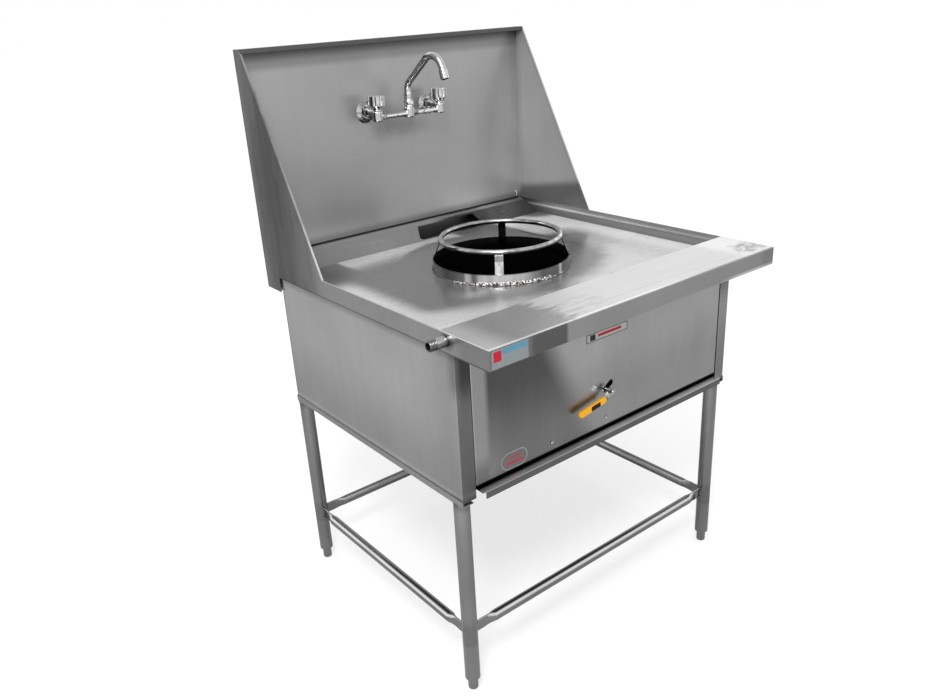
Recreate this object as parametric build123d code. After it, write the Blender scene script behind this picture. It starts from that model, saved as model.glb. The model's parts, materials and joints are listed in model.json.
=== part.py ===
from build123d import *
import os
from math import atan2, cos, degrees, radians, sin, sqrt

# A single-burner wok range in folded stainless sheet on four tube legs. All sizes are millimetres.
# It is drawn with x = 0 on the cabinet's middle plane (x to the right of someone at the front), y = 0 on
# the front edge of the shelf (y towards the wall) and z = 0 on the floor. save() then moves every piece so
# that the origin is the bottom centre of the whole outline.

# ---------------------------------------------------------------- driving sizes
# outline
top_width = 893.0  # over the side aprons
top_depth = 905.0  # shelf edge to the back of the wings
rim_z = 900.0  # working height
splash_height = 506.0  # above the rim
shelf_depth = 152.0
apron_height = 42.5
well_drop = 37.5  # rim down to the well floor
ramp_run = 86.0  # foot of the ramp to the back of the wings
ramp_end_drop = 1.0  # rim above the back edge of the ramp
wing_run = 300.0  # foot of a wing's sloping edge to the back of the wings
wing_top_depth = 29.0  # wing width at its top corner
gutter_drop = 80.5  # rim down to the underside of the gutter
gutter_inset = 3.0  # its front wall behind the foot of the ramp
gutter_end_gap = 3.0  # between its ends and the cabinet's sides

# cabinet
side_overhang = 4.5  # top beyond the cabinet on each side
shelf_overlap = 38.5  # shelf over the cabinet
gutter_overhang = 73.0  # wings beyond the cabinet's back
cabinet_height = 389.0  # underside of the base rails to the rim
front_panel_lift = 35.0  # above the underside of the base rails
return_width = 36.2  # front return of a side panel
return_lift = 9.0
seam_gap = 2.0  # between front panel and side returns
head_return_inset = 4.0  # top return of the front panel inside its sides

# sheet and bar stock
top_sheet = 1.5
side_sheet = 1.2
body_sheet = 1.2
rail_bar = 2.0
fold_radius = 1.6  # inside radius of a fold
hem_width = 12.0
wing_hem = 4.0
wing_back_return = 18.0
lip_drop = 10.0  # front return of the splashback's top lip
rail_height = 15.0
rail_width = 30.0

# legs, feet and braces
leg_side_inset = 15.0  # leg centres inside the cabinet's outline
leg_front_inset = 25.5
leg_rear_inset = 11.0
leg_radius = 18.0
leg_wall = 1.5
leg_foot_z = 33.0  # cut end of the tube above the floor
socket_lip = 3.0
socket_depth = 22.0
socket_shoulder = 1.0  # lip of a socket inside the leg's outline
foot_radius = 12.0
foot_rounding = 4.0
foot_stud_radius = 6.0
foot_stud_length = 48.0
brace_radius = 12.5
brace_wall = 1.2
brace_flat_height = 30.0
brace_flat_thickness = 4.0
brace_flat_length = 22.0
brace_taper_length = 34.0
front_brace_z = 167.0
side_brace_z = 158.0
rear_brace_z = 157.0

# wok seat and fire chamber
burner_shift = -1.5  # behind the middle of the well
drum_radius = 173.0
drum_wall = 2.0
collar_height = 25.5  # above the well floor
drum_depth = 207.5  # below the well floor
drum_floor_hole = 128.0
bead_size = 3.5
bead_belly = 0.6  # share of the bead's size at its rounded middle
lining_thickness = 22.0
lining_top_drop = 30.0  # collar edge down to the lining
lining_taper = 4.0
ring_radius = 149.5
ring_bar_radius = 6.35
ring_rise = 48.3  # middle of the ring above the collar
post_count = 4
post_first_angle = 48.0
post_width = 20.0
post_thickness = 3.0
post_grip = 18.0  # how far a post reaches down inside the collar

# burner
head_radius = 77.0
head_height = 66.0
head_wall = 7.0
neck_wall = 6.0
neck_height = 12.0
head_crown = 4.0  # middle of the head above its shoulder
crown_radius = 26.0
outer_port_count = 24
inner_port_count = 12
outer_port_radius = 60.0
inner_port_radius = 36.0
port_size = 2.5
mix_drop = 75.0  # its axis below the drum
mix_radius = 25.0
mix_wall = 4.0
mix_bend = 40.0
mix_throat_radius = 17.0
mix_mouth_radius = 30.0
mix_reach = 214.0  # its mouth in front of the burner's axis
mouth_plate = 3.0
mouth_rim_length = 18.0
throat_length = 40.0
throat_run = 100.0
window_radius = 7.0
window_circle = 19.5
window_count = 4
shutter_thickness = 3.0
injector_hex = 22.0
injector_hex_length = 21.0
injector_shank_radius = 9.0
injector_nose = 12.0
injector_step = 4.0  # shank beyond the mouth plate
jet_radius = 1.3
shutter_tab = (10.0, 9.0)  # width and height of its thumb tab
bracket_width = 30.0
bracket_bar = 4.0
bracket_reach = 35.0  # grip of the strap on the drum
pad_width = 24.0  # of the square foot that the mixing tube rests on

# gas line
pipe_setback = 18.5  # behind the front panel
pipe_drop = 17.0  # below the rim
pipe_radius = 10.65
pipe_bore = 7.9
thread_radius = 10.48
thread_length = 16.0
stub_length = 40.0  # inlet end beyond the side apron
inlet_socket_radius = 12.0
inlet_socket_inside = 6.0  # its end inside the side apron
elbow_reach = 24.0
elbow_radius = 12.6
elbow_band_radius = 14.4
elbow_band = 9.0
elbow_bend = 13.0
screw_in = 11.0  # pipe end inside a fitting
feed_radius = 8.0
feed_bore = 5.5
feed_bend = 34.0
feed_corners = (0.32, 0.68)  # its two corners, as shares of its run
valve_x = -14.5
valve_rise = 62.0  # above the mixing tube's axis
valve_reach = 27.0
valve_hex = 25.0
valve_barrel_radius = 15.5
valve_barrel_half = 15.0
valve_barrel_chamfer = 2.0
ball_radius = 11.0
ball_bore = 6.5
stem_radius = 4.5
stem_thread_radius = 4.0
lever_standoff = 16.0  # lever plate in front of the front panel
lever_thickness = 3.0
lever_width = 12.0
lever_eye_radius = 9.0
lever_elbow = (-16.0, -15.0)  # from the stem, in x and z
lever_tip = (-92.0, -27.5)
sleeve_width = 15.0
sleeve_thickness = 8.0
sleeve_start = 7.0  # beyond the lever's elbow
sleeve_cap = 2.0  # beyond the lever's tip
sleeve_rounding = 2.2
nut_size = 13.0
nut_height = 6.0
stem_end = 2.0  # stem beyond its nut
slot_offset = (7.9, 4.6)  # its middle from the stem, in x and z
slot_length = 38.0
slot_width = 15.0
slot_angle = 31.0
screw_offset = 4.5  # right-hand screw from the stem
screw_pitch = 176.0
screw_lift = 22.0  # above the foot of the front panel
screw_radius = 2.0
screw_head_radius = 4.2
screw_head_height = 2.4
screw_head_rounding = 1.4
screw_shank = 4.0  # beyond the strip behind the panel
clip_wall = 2.5
clip_height = 9.0
strip_height = 20.0
strip_end = 14.0  # strip beyond its screws
strip_tongue = 12.0

# drip tray
tray_lift = 30.0  # top of its flanges above the underside of the base rails
tray_side_gap = 3.8  # between its flanges and the opening it slides out of
tray_front_setback = 42.5
tray_back_setback = 92.0
tray_depth = 25.0
tray_flange = 16.0
tray_lip_reach = 23.5  # in front of the front panel
tray_lip_drop = 16.0
tray_lip_inset = 7.0
runner_height = 22.0
runner_setback = 70.0
runner_front_gap = 6.0  # behind the side panel's front return
runner_edge_gap = 4.0  # between a runner's edge and the pan

# tap
tap_spacing = 203.0
tap_rise = 324.0  # inlets above the rim
cross_drop = 11.0  # cross tube below the inlets
tap_reach = 60.0  # splashback to the valve axes
tap_neck_radius = 11.0  # top of the valve barrels and of the tee
tap_belly_radius = 14.0
belly_rounding = 5.0
belly_drop = 4.0  # top of the belly below the top of the inlets
tap_bore = 6.9
tee_floor = 8.0  # solid under the tee's bore
barrel_lift = 11.0  # top of the valve barrels above the inlets
tee_lift = 1.0  # top of the spout's tee above the barrels
cross_radius = 6.5
cross_flare = 3.0  # cross tube wider where it meets the tee and the barrels
flare_length = 16.0
inlet_radius = 10.65
tail_length = 30.0  # inlets behind the splashback
tail_thread = 20.0
flange_radius = 29.0
flange_depth = 9.0
flange_roll = 1.5  # depth of the rolled edge at its inner rim
flange_nut_gap = 5.0  # between a cover plate and the hexagon in front of it
flange_nut_height = 11.0
flange_nut_wall = 2.5
backnut_size = 30.0
backnut_height = 6.0
bonnet_size = 20.0
bonnet_height = 12.0
bonnet_collar_radius = 8.0
spindle_radius = 4.0
spindle_depth = 15.0
knob_radius = 21.5
knob_height = 32.0
knob_lift = 1.5
knob_flutes = 8
flute_radius = 4.6
flute_depth = 3.0
knob_skirt_radius = 16.0
knob_skirt_height = 7.0
knob_bore = 12.5
knob_edge = 1.5  # chamfer round its top
knob_recess = 4.0  # hollow above the headwork
knob_web = 5.0  # solid above the spindle's end
spout_radius = 9.0
spout_bore = 7.4
spout_riser = 51.0
spout_reach = 169.0  # riser to the outlet
spout_slope = 35.4
spout_low_bend = 30.0
spout_high_bend = 46.0
spout_tilt = 20.0  # outlet leans forward from straight down
spout_rise = 18.0  # outlet above the foot of the slope
spout_tip_radius = 11.0
spout_tip_length = 23.0
spout_ferrule_radius = 10.5
spout_ferrule_length = 16.0
spout_edge = 0.8  # chamfer of its sleeve and ferrule
spout_nut_size = 25.0
spout_nut_hex_height = 7.8
spout_nut_collar_radius = 11.5
spout_nut_height = 13.0

# drainage
drain_x = (-8.0, 228.0)
drain_slant = 32.0  # its left end leans in by this much
drain_width = 58.0
drain_rounding = 8.0
drain_edge = 1.0  # between the gutter's front wall and the opening
waste_x = 300.0
waste_radius = 19.0
waste_wall = 1.5
waste_length = 40.0

# named clearances
touch = 0.3  # between parts that meet at a seat
running = 0.05  # round a shaft that turns or slides in a hole
fitted = 0.05  # round a pipe end screwed into a fitting
panel_gap = 1.5  # open joint under the splashback

# ---------------------------------------------------------------- derived places
side_out = top_width / 2
side_in = side_out - side_sheet
splash_top_z = rim_z + splash_height
ramp_foot_y = top_depth - ramp_run
wing_foot_y = top_depth - wing_run
gutter_floor_z = rim_z - gutter_drop
body_front_y = shelf_depth - shelf_overlap
body_back_y = top_depth - gutter_overhang
base_z = rim_z - cabinet_height
front_panel_foot_z = base_z + front_panel_lift
return_foot_z = base_z + return_lift
floor_z = rim_z - well_drop
floor_under = floor_z - top_sheet
apron_z = rim_z - apron_height
body_out = side_out - side_overhang
front_half = body_out - return_width - seam_gap
panel_foot_z = base_z + rail_bar
back_in = top_depth - side_sheet
splash_face = back_in - body_sheet
ramp_end_y = splash_face - touch
ramp_end_z = rim_z - ramp_end_drop
ramp_angle = atan2(ramp_end_z - floor_z, ramp_end_y - ramp_foot_y)
leg_x = body_out - leg_side_inset
front_leg_y = body_front_y + leg_front_inset
rear_leg_y = body_back_y - leg_rear_inset
burner_y = (shelf_depth + ramp_foot_y) / 2 + burner_shift
drum_foot_z = floor_z - drum_depth
mix_z = drum_foot_z - mix_drop
mix_mouth_y = burner_y - mix_reach
valve_z = mix_z + valve_rise
pipe_y = body_front_y + pipe_setback
pipe_z = rim_z - pipe_drop
screw_xs = (valve_x + screw_offset - screw_pitch, valve_x + screw_offset)
screw_z = front_panel_foot_z + screw_lift
tray_z = base_z + tray_lift
flange_half = front_half - tray_side_gap
tray_half = flange_half - tray_flange
tray_front_y = body_front_y + tray_front_setback
tray_back_y = body_back_y - tray_back_setback
tap_z = rim_z + tap_rise
cross_z = tap_z - cross_drop
gutter_front_y = ramp_foot_y + gutter_inset
gutter_half = body_out - body_sheet - gutter_end_gap
drain_front_y = gutter_front_y + body_sheet + drain_edge
collar_top = floor_z + collar_height
ring_z = collar_top + ring_rise
splash_reach = back_in + tail_length  # rearmost point of the whole range
tap_y = splash_face - tap_reach
tap_x = tap_spacing / 2
barrel_top = tap_z + barrel_lift
tee_top = barrel_top + tee_lift
lever_y = body_front_y - lever_standoff  # middle of the lever plate
lever_front = lever_y - lever_thickness / 2
lever_back = lever_y + lever_thickness / 2
panel_back = body_front_y + body_sheet
feed_z = mix_z

shift = Pos(stub_length / 2, -splash_reach / 2, 0)


# ---------------------------------------------------------------- shared shapes
def block(x0, x1, y0, y1, z0, z1):
    """A box from its two corners."""
    return Pos((x0 + x1) / 2, (y0 + y1) / 2, (z0 + z1) / 2) * Box(x1 - x0, y1 - y0, z1 - z0)


def rod(start, direction, radius, length):
    """A round bar that starts at a point and runs along a direction."""
    return Plane(origin=start, z_dir=direction) * Cylinder(
        radius, length, align=(Align.CENTER, Align.CENTER, Align.MIN)
    )


def hexagon(start, direction, across_flats, length):
    """A hexagonal bar that starts at a point and runs along a direction."""
    outline = RegularPolygon(across_flats / 2, 6, major_radius=False)
    return extrude(Plane(origin=start, z_dir=direction) * outline, amount=length)


def folded(points, thickness, side, fold=fold_radius):
    """The cross-section of a sheet folded along an outside line, with round folds."""
    outside = FilletPolyline(*points, radius=fold + thickness)
    return make_face(offset(outside, amount=thickness, side=side, kind=Kind.ARC))


def along_x(section, x0, x1):
    """A section drawn in (y, z), run from x0 to x1."""
    return extrude(Plane.YZ.offset(x0) * section, amount=x1 - x0)


def up_z(section, z0, z1):
    """A section drawn in (x, y), run from z0 to z1."""
    return extrude(Plane.XY.offset(z0) * section, amount=z1 - z0)


def polygon(*points):
    return make_face(Polyline(*points, close=True))


def turned(points, centre=(0, 0, 0), axis=(0, 0, 1)):
    """A turned part from (radius, height) points, its axis through centre."""
    upright = revolve(Plane.XZ * polygon(*points), axis=Axis.Z)
    return Plane(origin=centre, z_dir=axis) * upright


def bent_bar(points, radii, radius):
    """A round bar along straight runs joined by arcs."""
    path = FilletPolyline(*points, radius=radii)
    start = Plane(origin=path @ 0, z_dir=path % 0)
    return sweep(start * Circle(radius), path=path)


def mirrored(part):
    """The same part on the other side of the cabinet's middle plane."""
    return mirror(part, about=Plane.YZ)


def ramp_under(y):
    """Height of the ramp's underside at a distance back."""
    return floor_z + (y - ramp_foot_y) * sin(ramp_angle) / cos(ramp_angle) - top_sheet / cos(ramp_angle)


# ---------------------------------------------------------------- legs, feet and braces
def leg(x, y):
    tube = rod((x, y, leg_foot_z), (0, 0, 1), leg_radius, base_z - leg_foot_z)
    return tube - rod((x, y, leg_foot_z), (0, 0, 1), leg_radius - leg_wall, base_z - leg_foot_z)


def foot_socket(x, y):
    """Threaded plug in the cut end of a leg, with a bright tapered lip below it."""
    plug_radius = leg_radius - leg_wall - fitted
    profile = (
        (foot_stud_radius + running, leg_foot_z - socket_lip),
        (foot_radius + 2 * socket_shoulder, leg_foot_z - socket_lip),
        (leg_radius - socket_shoulder, leg_foot_z - socket_shoulder),
        (leg_radius - socket_shoulder, leg_foot_z),
        (plug_radius, leg_foot_z),
        (plug_radius, leg_foot_z + socket_depth),
        (foot_stud_radius + running, leg_foot_z + socket_depth),
    )
    return turned(profile, centre=(x, y, 0))


def foot(x, y):
    """Adjustable foot: a round-nosed barrel with its stud up in the leg's socket."""
    barrel_top = leg_foot_z - socket_lip - touch
    barrel = rod((x, y, 0), (0, 0, 1), foot_radius, barrel_top)
    barrel = fillet(barrel.edges().group_by(Axis.Z)[0], foot_rounding)
    barrel = chamfer(barrel.edges().group_by(Axis.Z)[-1], 1)
    return barrel + rod((x, y, barrel_top), (0, 0, 1), foot_stud_radius, foot_stud_length)


def brace(start, end, z):
    """Round tube between two leg centres, its ends pressed flat and shaped to the legs."""
    (x0, y0), (x1, y1) = start, end
    length = sqrt((x1 - x0) ** 2 + (y1 - y0) ** 2)
    run = Vector(x1 - x0, y1 - y0, 0).normalized()
    middle = Vector((x0 + x1) / 2, (y0 + y1) / 2, z)
    flat_end = length / 2 - leg_radius + 1
    flat_start = length / 2 - leg_radius - brace_flat_length
    round_end = flat_start - brace_taper_length
    frame = Plane(origin=middle, x_dir=run, z_dir=(0, 0, 1))
    tube = frame * rod((-round_end, 0, 0), (1, 0, 0), brace_radius, 2 * round_end)
    bore = frame * rod((-round_end, 0, 0), (1, 0, 0), brace_radius - brace_wall, 2 * round_end)
    for side in (-1, 1):
        across = Plane(origin=(side * round_end, 0, 0), x_dir=(0, 1, 0), z_dir=(side, 0, 0))
        flat = RectangleRounded(
            brace_flat_thickness, brace_flat_height, brace_flat_thickness / 2 - 0.1
        )
        taper = loft([across * Circle(brace_radius), across.offset(brace_taper_length) * flat])
        tongue = extrude(across.offset(brace_taper_length) * flat, amount=flat_end - flat_start)
        tube += frame * taper
        tube += frame * tongue
    tube -= bore
    for x, y in (start, end):
        tube -= rod((x, y, z - brace_flat_height), (0, 0, 1), leg_radius, 2 * brace_flat_height)
    return tube


# ---------------------------------------------------------------- base and cabinet
def base_rail_left():
    """Angle along the foot of a side panel: its upright shows outside the panel."""
    outer = body_out + rail_bar
    upright = block(-outer, -body_out, body_front_y, body_back_y + rail_bar, base_z, base_z + rail_height)
    ledge = block(-outer, -outer + rail_width, body_front_y, body_back_y + rail_bar, base_z, panel_foot_z)
    return upright + ledge


def base_rail_rear():
    back = body_back_y + rail_bar
    upright = block(-body_out, body_out, body_back_y, back, panel_foot_z, base_z + rail_height)
    inner = body_out + rail_bar - rail_width
    ledge = block(-inner, inner, back - rail_width, back, base_z, panel_foot_z)
    return upright + ledge


def side_panel_left():
    """Cabinet side with a return at the front, which frames the front panel, and one at the back."""
    points = (
        (-body_out + return_width, body_front_y),
        (-body_out, body_front_y),
        (-body_out, body_back_y - body_sheet),
        (-body_out + rail_width, body_back_y - body_sheet),
    )
    panel = up_z(folded(points, body_sheet, Side.RIGHT), panel_foot_z, floor_under)
    corner = body_sheet + fold_radius
    cut_x = -body_out + corner
    notch = block(
        cut_x,
        -body_out + return_width + 1,
        body_front_y - 1,
        body_front_y + corner,
        panel_foot_z - 1,
        return_foot_z,
    )
    inner = cut_x + rail_width
    above_gutter = block(
        cut_x, inner, body_back_y - corner - body_sheet, body_back_y, gutter_floor_z - touch, floor_z
    )
    return panel - notch - above_gutter


def rear_panel():
    """Flat back; the gutter rests on its top edge."""
    front = body_back_y - body_sheet
    return block(-body_out, body_out, front, body_back_y, panel_foot_z, gutter_floor_z)


def front_panel():
    """Removable front: a pan with side returns, a top return under the shelf and the lever's slot."""
    half = front_half
    depth = hem_width + body_sheet
    points = (
        (-half, body_front_y + depth),
        (-half, body_front_y),
        (half, body_front_y),
        (half, body_front_y + depth),
    )
    pan = up_z(folded(points, body_sheet, Side.LEFT), front_panel_foot_z, apron_z)
    head_half = half - head_return_inset
    top_points = (
        (body_front_y, apron_z),
        (body_front_y, rim_z - top_sheet),
        (body_front_y + depth, rim_z - top_sheet),
    )
    head = along_x(folded(top_points, body_sheet, Side.RIGHT), -head_half, head_half)
    panel = pan + head
    slot_x = valve_x + slot_offset[0]
    slot_z = valve_z + slot_offset[1]
    slot = Plane(origin=(slot_x, body_front_y - 1, slot_z), z_dir=(0, 1, 0), x_dir=(1, 0, 0))
    opening = extrude(slot * Rotation(0, 0, -slot_angle) * SlotOverall(slot_length, slot_width), amount=5)
    panel -= opening
    for x in screw_xs:
        panel -= rod((x, body_front_y - 1, screw_z), (0, 1, 0), screw_radius + running, 5)
    return panel


# ---------------------------------------------------------------- top, wings and splashback
def front_shelf():
    """Shelf along the front: apron with a hem, flat top and the front wall of the well."""
    points = (
        (hem_width, apron_z),
        (0, apron_z),
        (0, rim_z),
        (shelf_depth, rim_z),
        (shelf_depth, floor_z),
    )
    return along_x(folded(points, top_sheet, Side.RIGHT), -side_in, side_in)


def worktop():
    """Well floor with side upstands, the ramp up to the splashback and its drain opening."""
    floor_points = (
        (shelf_depth - top_sheet, floor_z),
        (ramp_foot_y, floor_z),
        (ramp_end_y, ramp_end_z),
    )
    sheet = along_x(folded(floor_points, top_sheet, Side.RIGHT), -side_in, side_in)
    upstand_outline = polygon(
        (shelf_depth, floor_under),
        (ramp_foot_y, floor_under),
        (ramp_end_y, ramp_under(ramp_end_y)),
        (ramp_end_y, rim_z),
        (shelf_depth, rim_z),
    )
    upstand = along_x(upstand_outline, -side_in, -side_in + top_sheet)
    sheet += upstand
    sheet += mirrored(upstand)
    sheet -= block(-side_out, side_out, ramp_end_y, top_depth, floor_under, splash_top_z)
    sheet -= rod((0, burner_y, floor_z - 10), (0, 0, 1), drum_radius + touch, 20)
    x0, x1 = drain_x
    y0, y1 = drain_front_y, drain_front_y + drain_width
    corners = ((x0, y0), (x1, y0), (x1, y1), (x0 + drain_slant, y1))
    plan = make_face(FilletPolyline(*corners, radius=drain_rounding, close=True))
    return sheet - up_z(plan, floor_under - 5, rim_z)


def wing_left():
    """One sheet: side apron along the well, gutter end and the sloping wing beside the splashback."""
    outline = polygon(
        (0, apron_z),
        (body_back_y, apron_z),
        (body_back_y, gutter_floor_z),
        (top_depth, gutter_floor_z),
        (top_depth, splash_top_z),
        (top_depth - wing_top_depth, splash_top_z),
        (wing_foot_y, rim_z),
        (0, rim_z),
    )
    sheet = along_x(outline, -side_out, -side_in)
    slope_y = top_depth - wing_top_depth - wing_foot_y
    slope_z = splash_top_z - rim_z
    across = side_sheet * sqrt(slope_y**2 + slope_z**2) / slope_z
    hem_top_z = splash_top_z - lip_drop - touch
    hem_top_y = wing_foot_y + slope_y * (hem_top_z - rim_z) / slope_z
    hem = polygon(
        (wing_foot_y, rim_z),
        (hem_top_y, hem_top_z),
        (hem_top_y + across, hem_top_z),
        (wing_foot_y + across, rim_z),
    )
    sheet += along_x(hem, -side_in, -side_in + wing_hem)
    sheet += block(-side_in, -side_in + wing_back_return, back_in, top_depth, gutter_floor_z, splash_top_z)
    return sheet


def gas_hole():
    """Hole through the left side apron for the inlet."""
    return rod((-side_out - 5, pipe_y, pipe_z), (1, 0, 0), inlet_socket_radius + touch, 10)


def splashback():
    """Back sheet with a forward lip along its top and two holes for the tap."""
    lip_front = top_depth - wing_top_depth
    points = (
        (back_in, rim_z + panel_gap),
        (back_in, splash_top_z),
        (lip_front, splash_top_z),
        (lip_front, splash_top_z - lip_drop),
    )
    sheet = along_x(folded(points, body_sheet, Side.LEFT), -side_in, side_in)
    for x in (-tap_x, tap_x):
        sheet -= rod((x, splash_face - 2, tap_z), (0, 1, 0), inlet_radius + touch, 6)
    return sheet


def rear_gutter():
    """Trough under the ramp that catches what runs through it, with capped ends and a waste outlet."""
    front_top = ramp_under(gutter_front_y) - touch
    points = (
        (gutter_front_y, front_top),
        (gutter_front_y, gutter_floor_z),
        (back_in, gutter_floor_z),
        (back_in, rim_z),
    )
    channel = along_x(folded(points, body_sheet, Side.LEFT), -gutter_half, gutter_half)
    cap_outline = polygon(
        (gutter_front_y, front_top),
        (gutter_front_y, gutter_floor_z),
        (back_in, gutter_floor_z),
        (back_in, rim_z),
        (splash_face, rim_z),
        (splash_face, ramp_under(splash_face) - touch),
    )
    cap = along_x(cap_outline, -gutter_half, -gutter_half + body_sheet)
    channel += cap
    channel += mirrored(cap)
    waste_y = (gutter_front_y + back_in) / 2
    below = gutter_floor_z - waste_length
    channel += rod((waste_x, waste_y, below), (0, 0, 1), waste_radius, waste_length + body_sheet)
    bore = rod((waste_x, waste_y, below - 1), (0, 0, 1), waste_radius - waste_wall, waste_length + 5)
    return channel - bore


# ---------------------------------------------------------------- fire chamber and wok seat
def burner_drum():
    """Collar and fire chamber in one rolled shell, welded into the well floor, with a floor ring."""
    inner = drum_radius - drum_wall
    profile = (
        (drum_floor_hole, drum_foot_z),
        (drum_radius, drum_foot_z),
        (drum_radius, floor_z),
        (drum_radius + bead_size, floor_z),
        (drum_radius + bead_size * bead_belly, floor_z + bead_size * bead_belly),
        (drum_radius, floor_z + bead_size),
        (drum_radius, collar_top),
        (inner, collar_top),
        (inner, drum_foot_z + drum_wall),
        (drum_floor_hole, drum_foot_z + drum_wall),
    )
    return turned(profile, centre=(0, burner_y, 0))


def drum_lining():
    """Cast refractory ring inside the drum, a little wider at the top."""
    outer = drum_radius - drum_wall - touch
    inner = outer - lining_thickness
    foot_z = drum_foot_z + drum_wall
    top_z = collar_top - lining_top_drop
    profile = (
        (inner - lining_taper, foot_z),
        (outer, foot_z),
        (outer, top_z),
        (inner + lining_taper, top_z),
        (inner, top_z - lining_taper),
    )
    return turned(profile, centre=(0, burner_y, 0))


def wok_ring():
    return Pos(0, burner_y, ring_z) * Torus(ring_radius, ring_bar_radius)


def ring_post(angle):
    """Flat strip from inside the collar, bent to lean in under the ring."""
    inner = drum_radius - drum_wall
    outer_face = sqrt(inner**2 - (post_width / 2) ** 2) - touch
    bend_z = collar_top - 1
    points = (
        (outer_face, collar_top - post_grip),
        (outer_face, bend_z),
        (ring_radius + post_thickness / 2, ring_z),
    )
    outside = Polyline(*points)
    edge = offset(outside, amount=post_thickness, side=Side.LEFT, kind=Kind.INTERSECTION)
    section = make_face(edge)
    strip = extrude(Plane.XZ * section, amount=post_width / 2, both=True)
    strip -= block(0, 2 * ring_radius, -post_width, post_width, ring_z, ring_z + 50)
    strip -= Pos(0, 0, ring_z) * Torus(ring_radius, ring_bar_radius)
    strip = strip.solids().sort_by(Axis.Z)[0]
    return Pos(0, burner_y, 0) * Rotation(0, 0, angle) * strip


# ---------------------------------------------------------------- burner
def burner_head():
    """Cast burner: a hollow mushroom on a neck, with two rings of ports in its top."""
    neck_in = mix_radius - mix_wall
    neck_out = neck_in + neck_wall
    top = drum_foot_z + head_height
    shoulder = top - 3 * head_wall
    deck = top - head_crown
    deck_radius = head_radius - 6
    brim = head_radius - 3
    profile = (
        (neck_in, drum_foot_z),
        (neck_out, drum_foot_z),
        (neck_out, drum_foot_z + neck_height),
        (brim, shoulder),
        (head_radius, shoulder + head_wall),
        (deck_radius, deck),
        (crown_radius, deck),
        (crown_radius / 2, top),
        (0, top),
        (0, top - head_wall),
        (crown_radius, deck - head_wall),
        (deck_radius - head_wall, deck - head_wall),
        (brim - head_wall, shoulder + head_wall / 2),
        (neck_in, drum_foot_z + neck_height + 2),
    )
    head = turned(profile, centre=(0, burner_y, 0))
    for count, circle in ((outer_port_count, outer_port_radius), (inner_port_count, inner_port_radius)):
        ports = PolarLocations(circle, count) * Cylinder(port_size, 3 * head_wall)
        head -= [Pos(0, burner_y, top - head_wall) * port for port in ports]
    return head


def windows(y0, y1):
    """Air windows through a plate that faces the front."""
    holes = []
    for index in range(window_count):
        angle = radians(index * 360 / window_count)
        centre = (window_circle * cos(angle), y0, mix_z + window_circle * sin(angle))
        holes.append(rod(centre, (0, 1, 0), window_radius, y1 - y0))
    return holes


def mixing_tube():
    """Cast mixing tube: ported mouth, narrow throat, long cone and a bend up to the head."""
    rim_end = mix_mouth_y + mouth_rim_length
    throat_y = rim_end + throat_length
    cone_end = throat_y + throat_run
    straight_end = burner_y - mix_bend
    inner = mix_radius - mix_wall
    throat_in = mix_throat_radius - mix_wall
    outer_profile = (
        (0, mix_mouth_y),
        (mix_mouth_radius, mix_mouth_y),
        (mix_mouth_radius, rim_end),
        (mix_throat_radius, throat_y),
        (mix_radius, cone_end),
        (mix_radius, straight_end),
        (0, straight_end),
    )
    inner_profile = (
        (0, mix_mouth_y + mouth_plate),
        (mix_mouth_radius - mix_wall, mix_mouth_y + mouth_plate),
        (mix_mouth_radius - mix_wall, rim_end - 2),
        (throat_in, throat_y),
        (inner, cone_end),
        (inner, straight_end),
        (0, straight_end),
    )
    path = ((0, straight_end - 1, mix_z), (0, burner_y, mix_z), (0, burner_y, drum_foot_z))
    pad_foot = mix_z - mix_radius
    pad_half = pad_width / 2
    pad = block(-pad_half, pad_half, burner_y - pad_half, burner_y + pad_half, pad_foot, mix_z)
    tube = turned(outer_profile, centre=(0, 0, mix_z), axis=(0, 1, 0))
    tube += bent_bar(path, mix_bend, mix_radius)
    tube += pad
    tube -= turned(inner_profile, centre=(0, 0, mix_z), axis=(0, 1, 0))
    tube -= bent_bar(path, mix_bend, inner)
    tube -= rod((0, mix_mouth_y - 1, mix_z), (0, 1, 0), injector_shank_radius + touch, mouth_plate + 2)
    tube -= windows(mix_mouth_y - 1, mix_mouth_y + mouth_plate + 1)
    return tube


def air_shutter():
    """Disc that turns on the injector in front of the mouth; its windows pass or close the mouth's."""
    back = mix_mouth_y - touch
    disc = rod((0, back - shutter_thickness, mix_z), (0, 1, 0), mix_mouth_radius, shutter_thickness)
    disc -= rod((0, back - 10, mix_z), (0, 1, 0), injector_shank_radius + running, 20)
    disc -= windows(back - shutter_thickness - 1, back + 1)
    edge_z = mix_z + mix_mouth_radius
    width, height = shutter_tab
    tab = block(-width / 2, width / 2, back - shutter_thickness, back, edge_z - 2, edge_z + height)
    return disc + tab


def injector():
    """Brass gas jet: hexagon with the feed pipe's seat, shank that carries the shutter, cone nose."""
    shoulder = mix_mouth_y - touch - shutter_thickness - touch
    start = shoulder - injector_hex_length
    tip = mix_mouth_y + mouth_plate + injector_step
    jet = hexagon((0, start, mix_z), (0, 1, 0), injector_hex, injector_hex_length)
    jet += rod((0, shoulder, mix_z), (0, 1, 0), injector_shank_radius, tip - shoulder)
    nose = (
        (0, tip),
        (injector_shank_radius - 1, tip),
        (jet_radius + 2, tip + injector_nose),
        (0, tip + injector_nose),
    )
    jet += turned(nose, centre=(0, 0, mix_z), axis=(0, 1, 0))
    jet -= rod((0, start, mix_z), (0, 1, 0), feed_radius + fitted, screw_in)
    jet -= rod((0, start, mix_z), (0, 1, 0), feed_bore, injector_hex_length)
    jet -= rod((0, start, mix_z), (0, 1, 0), jet_radius, tip + injector_nose + 5 - start)
    return jet


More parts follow.
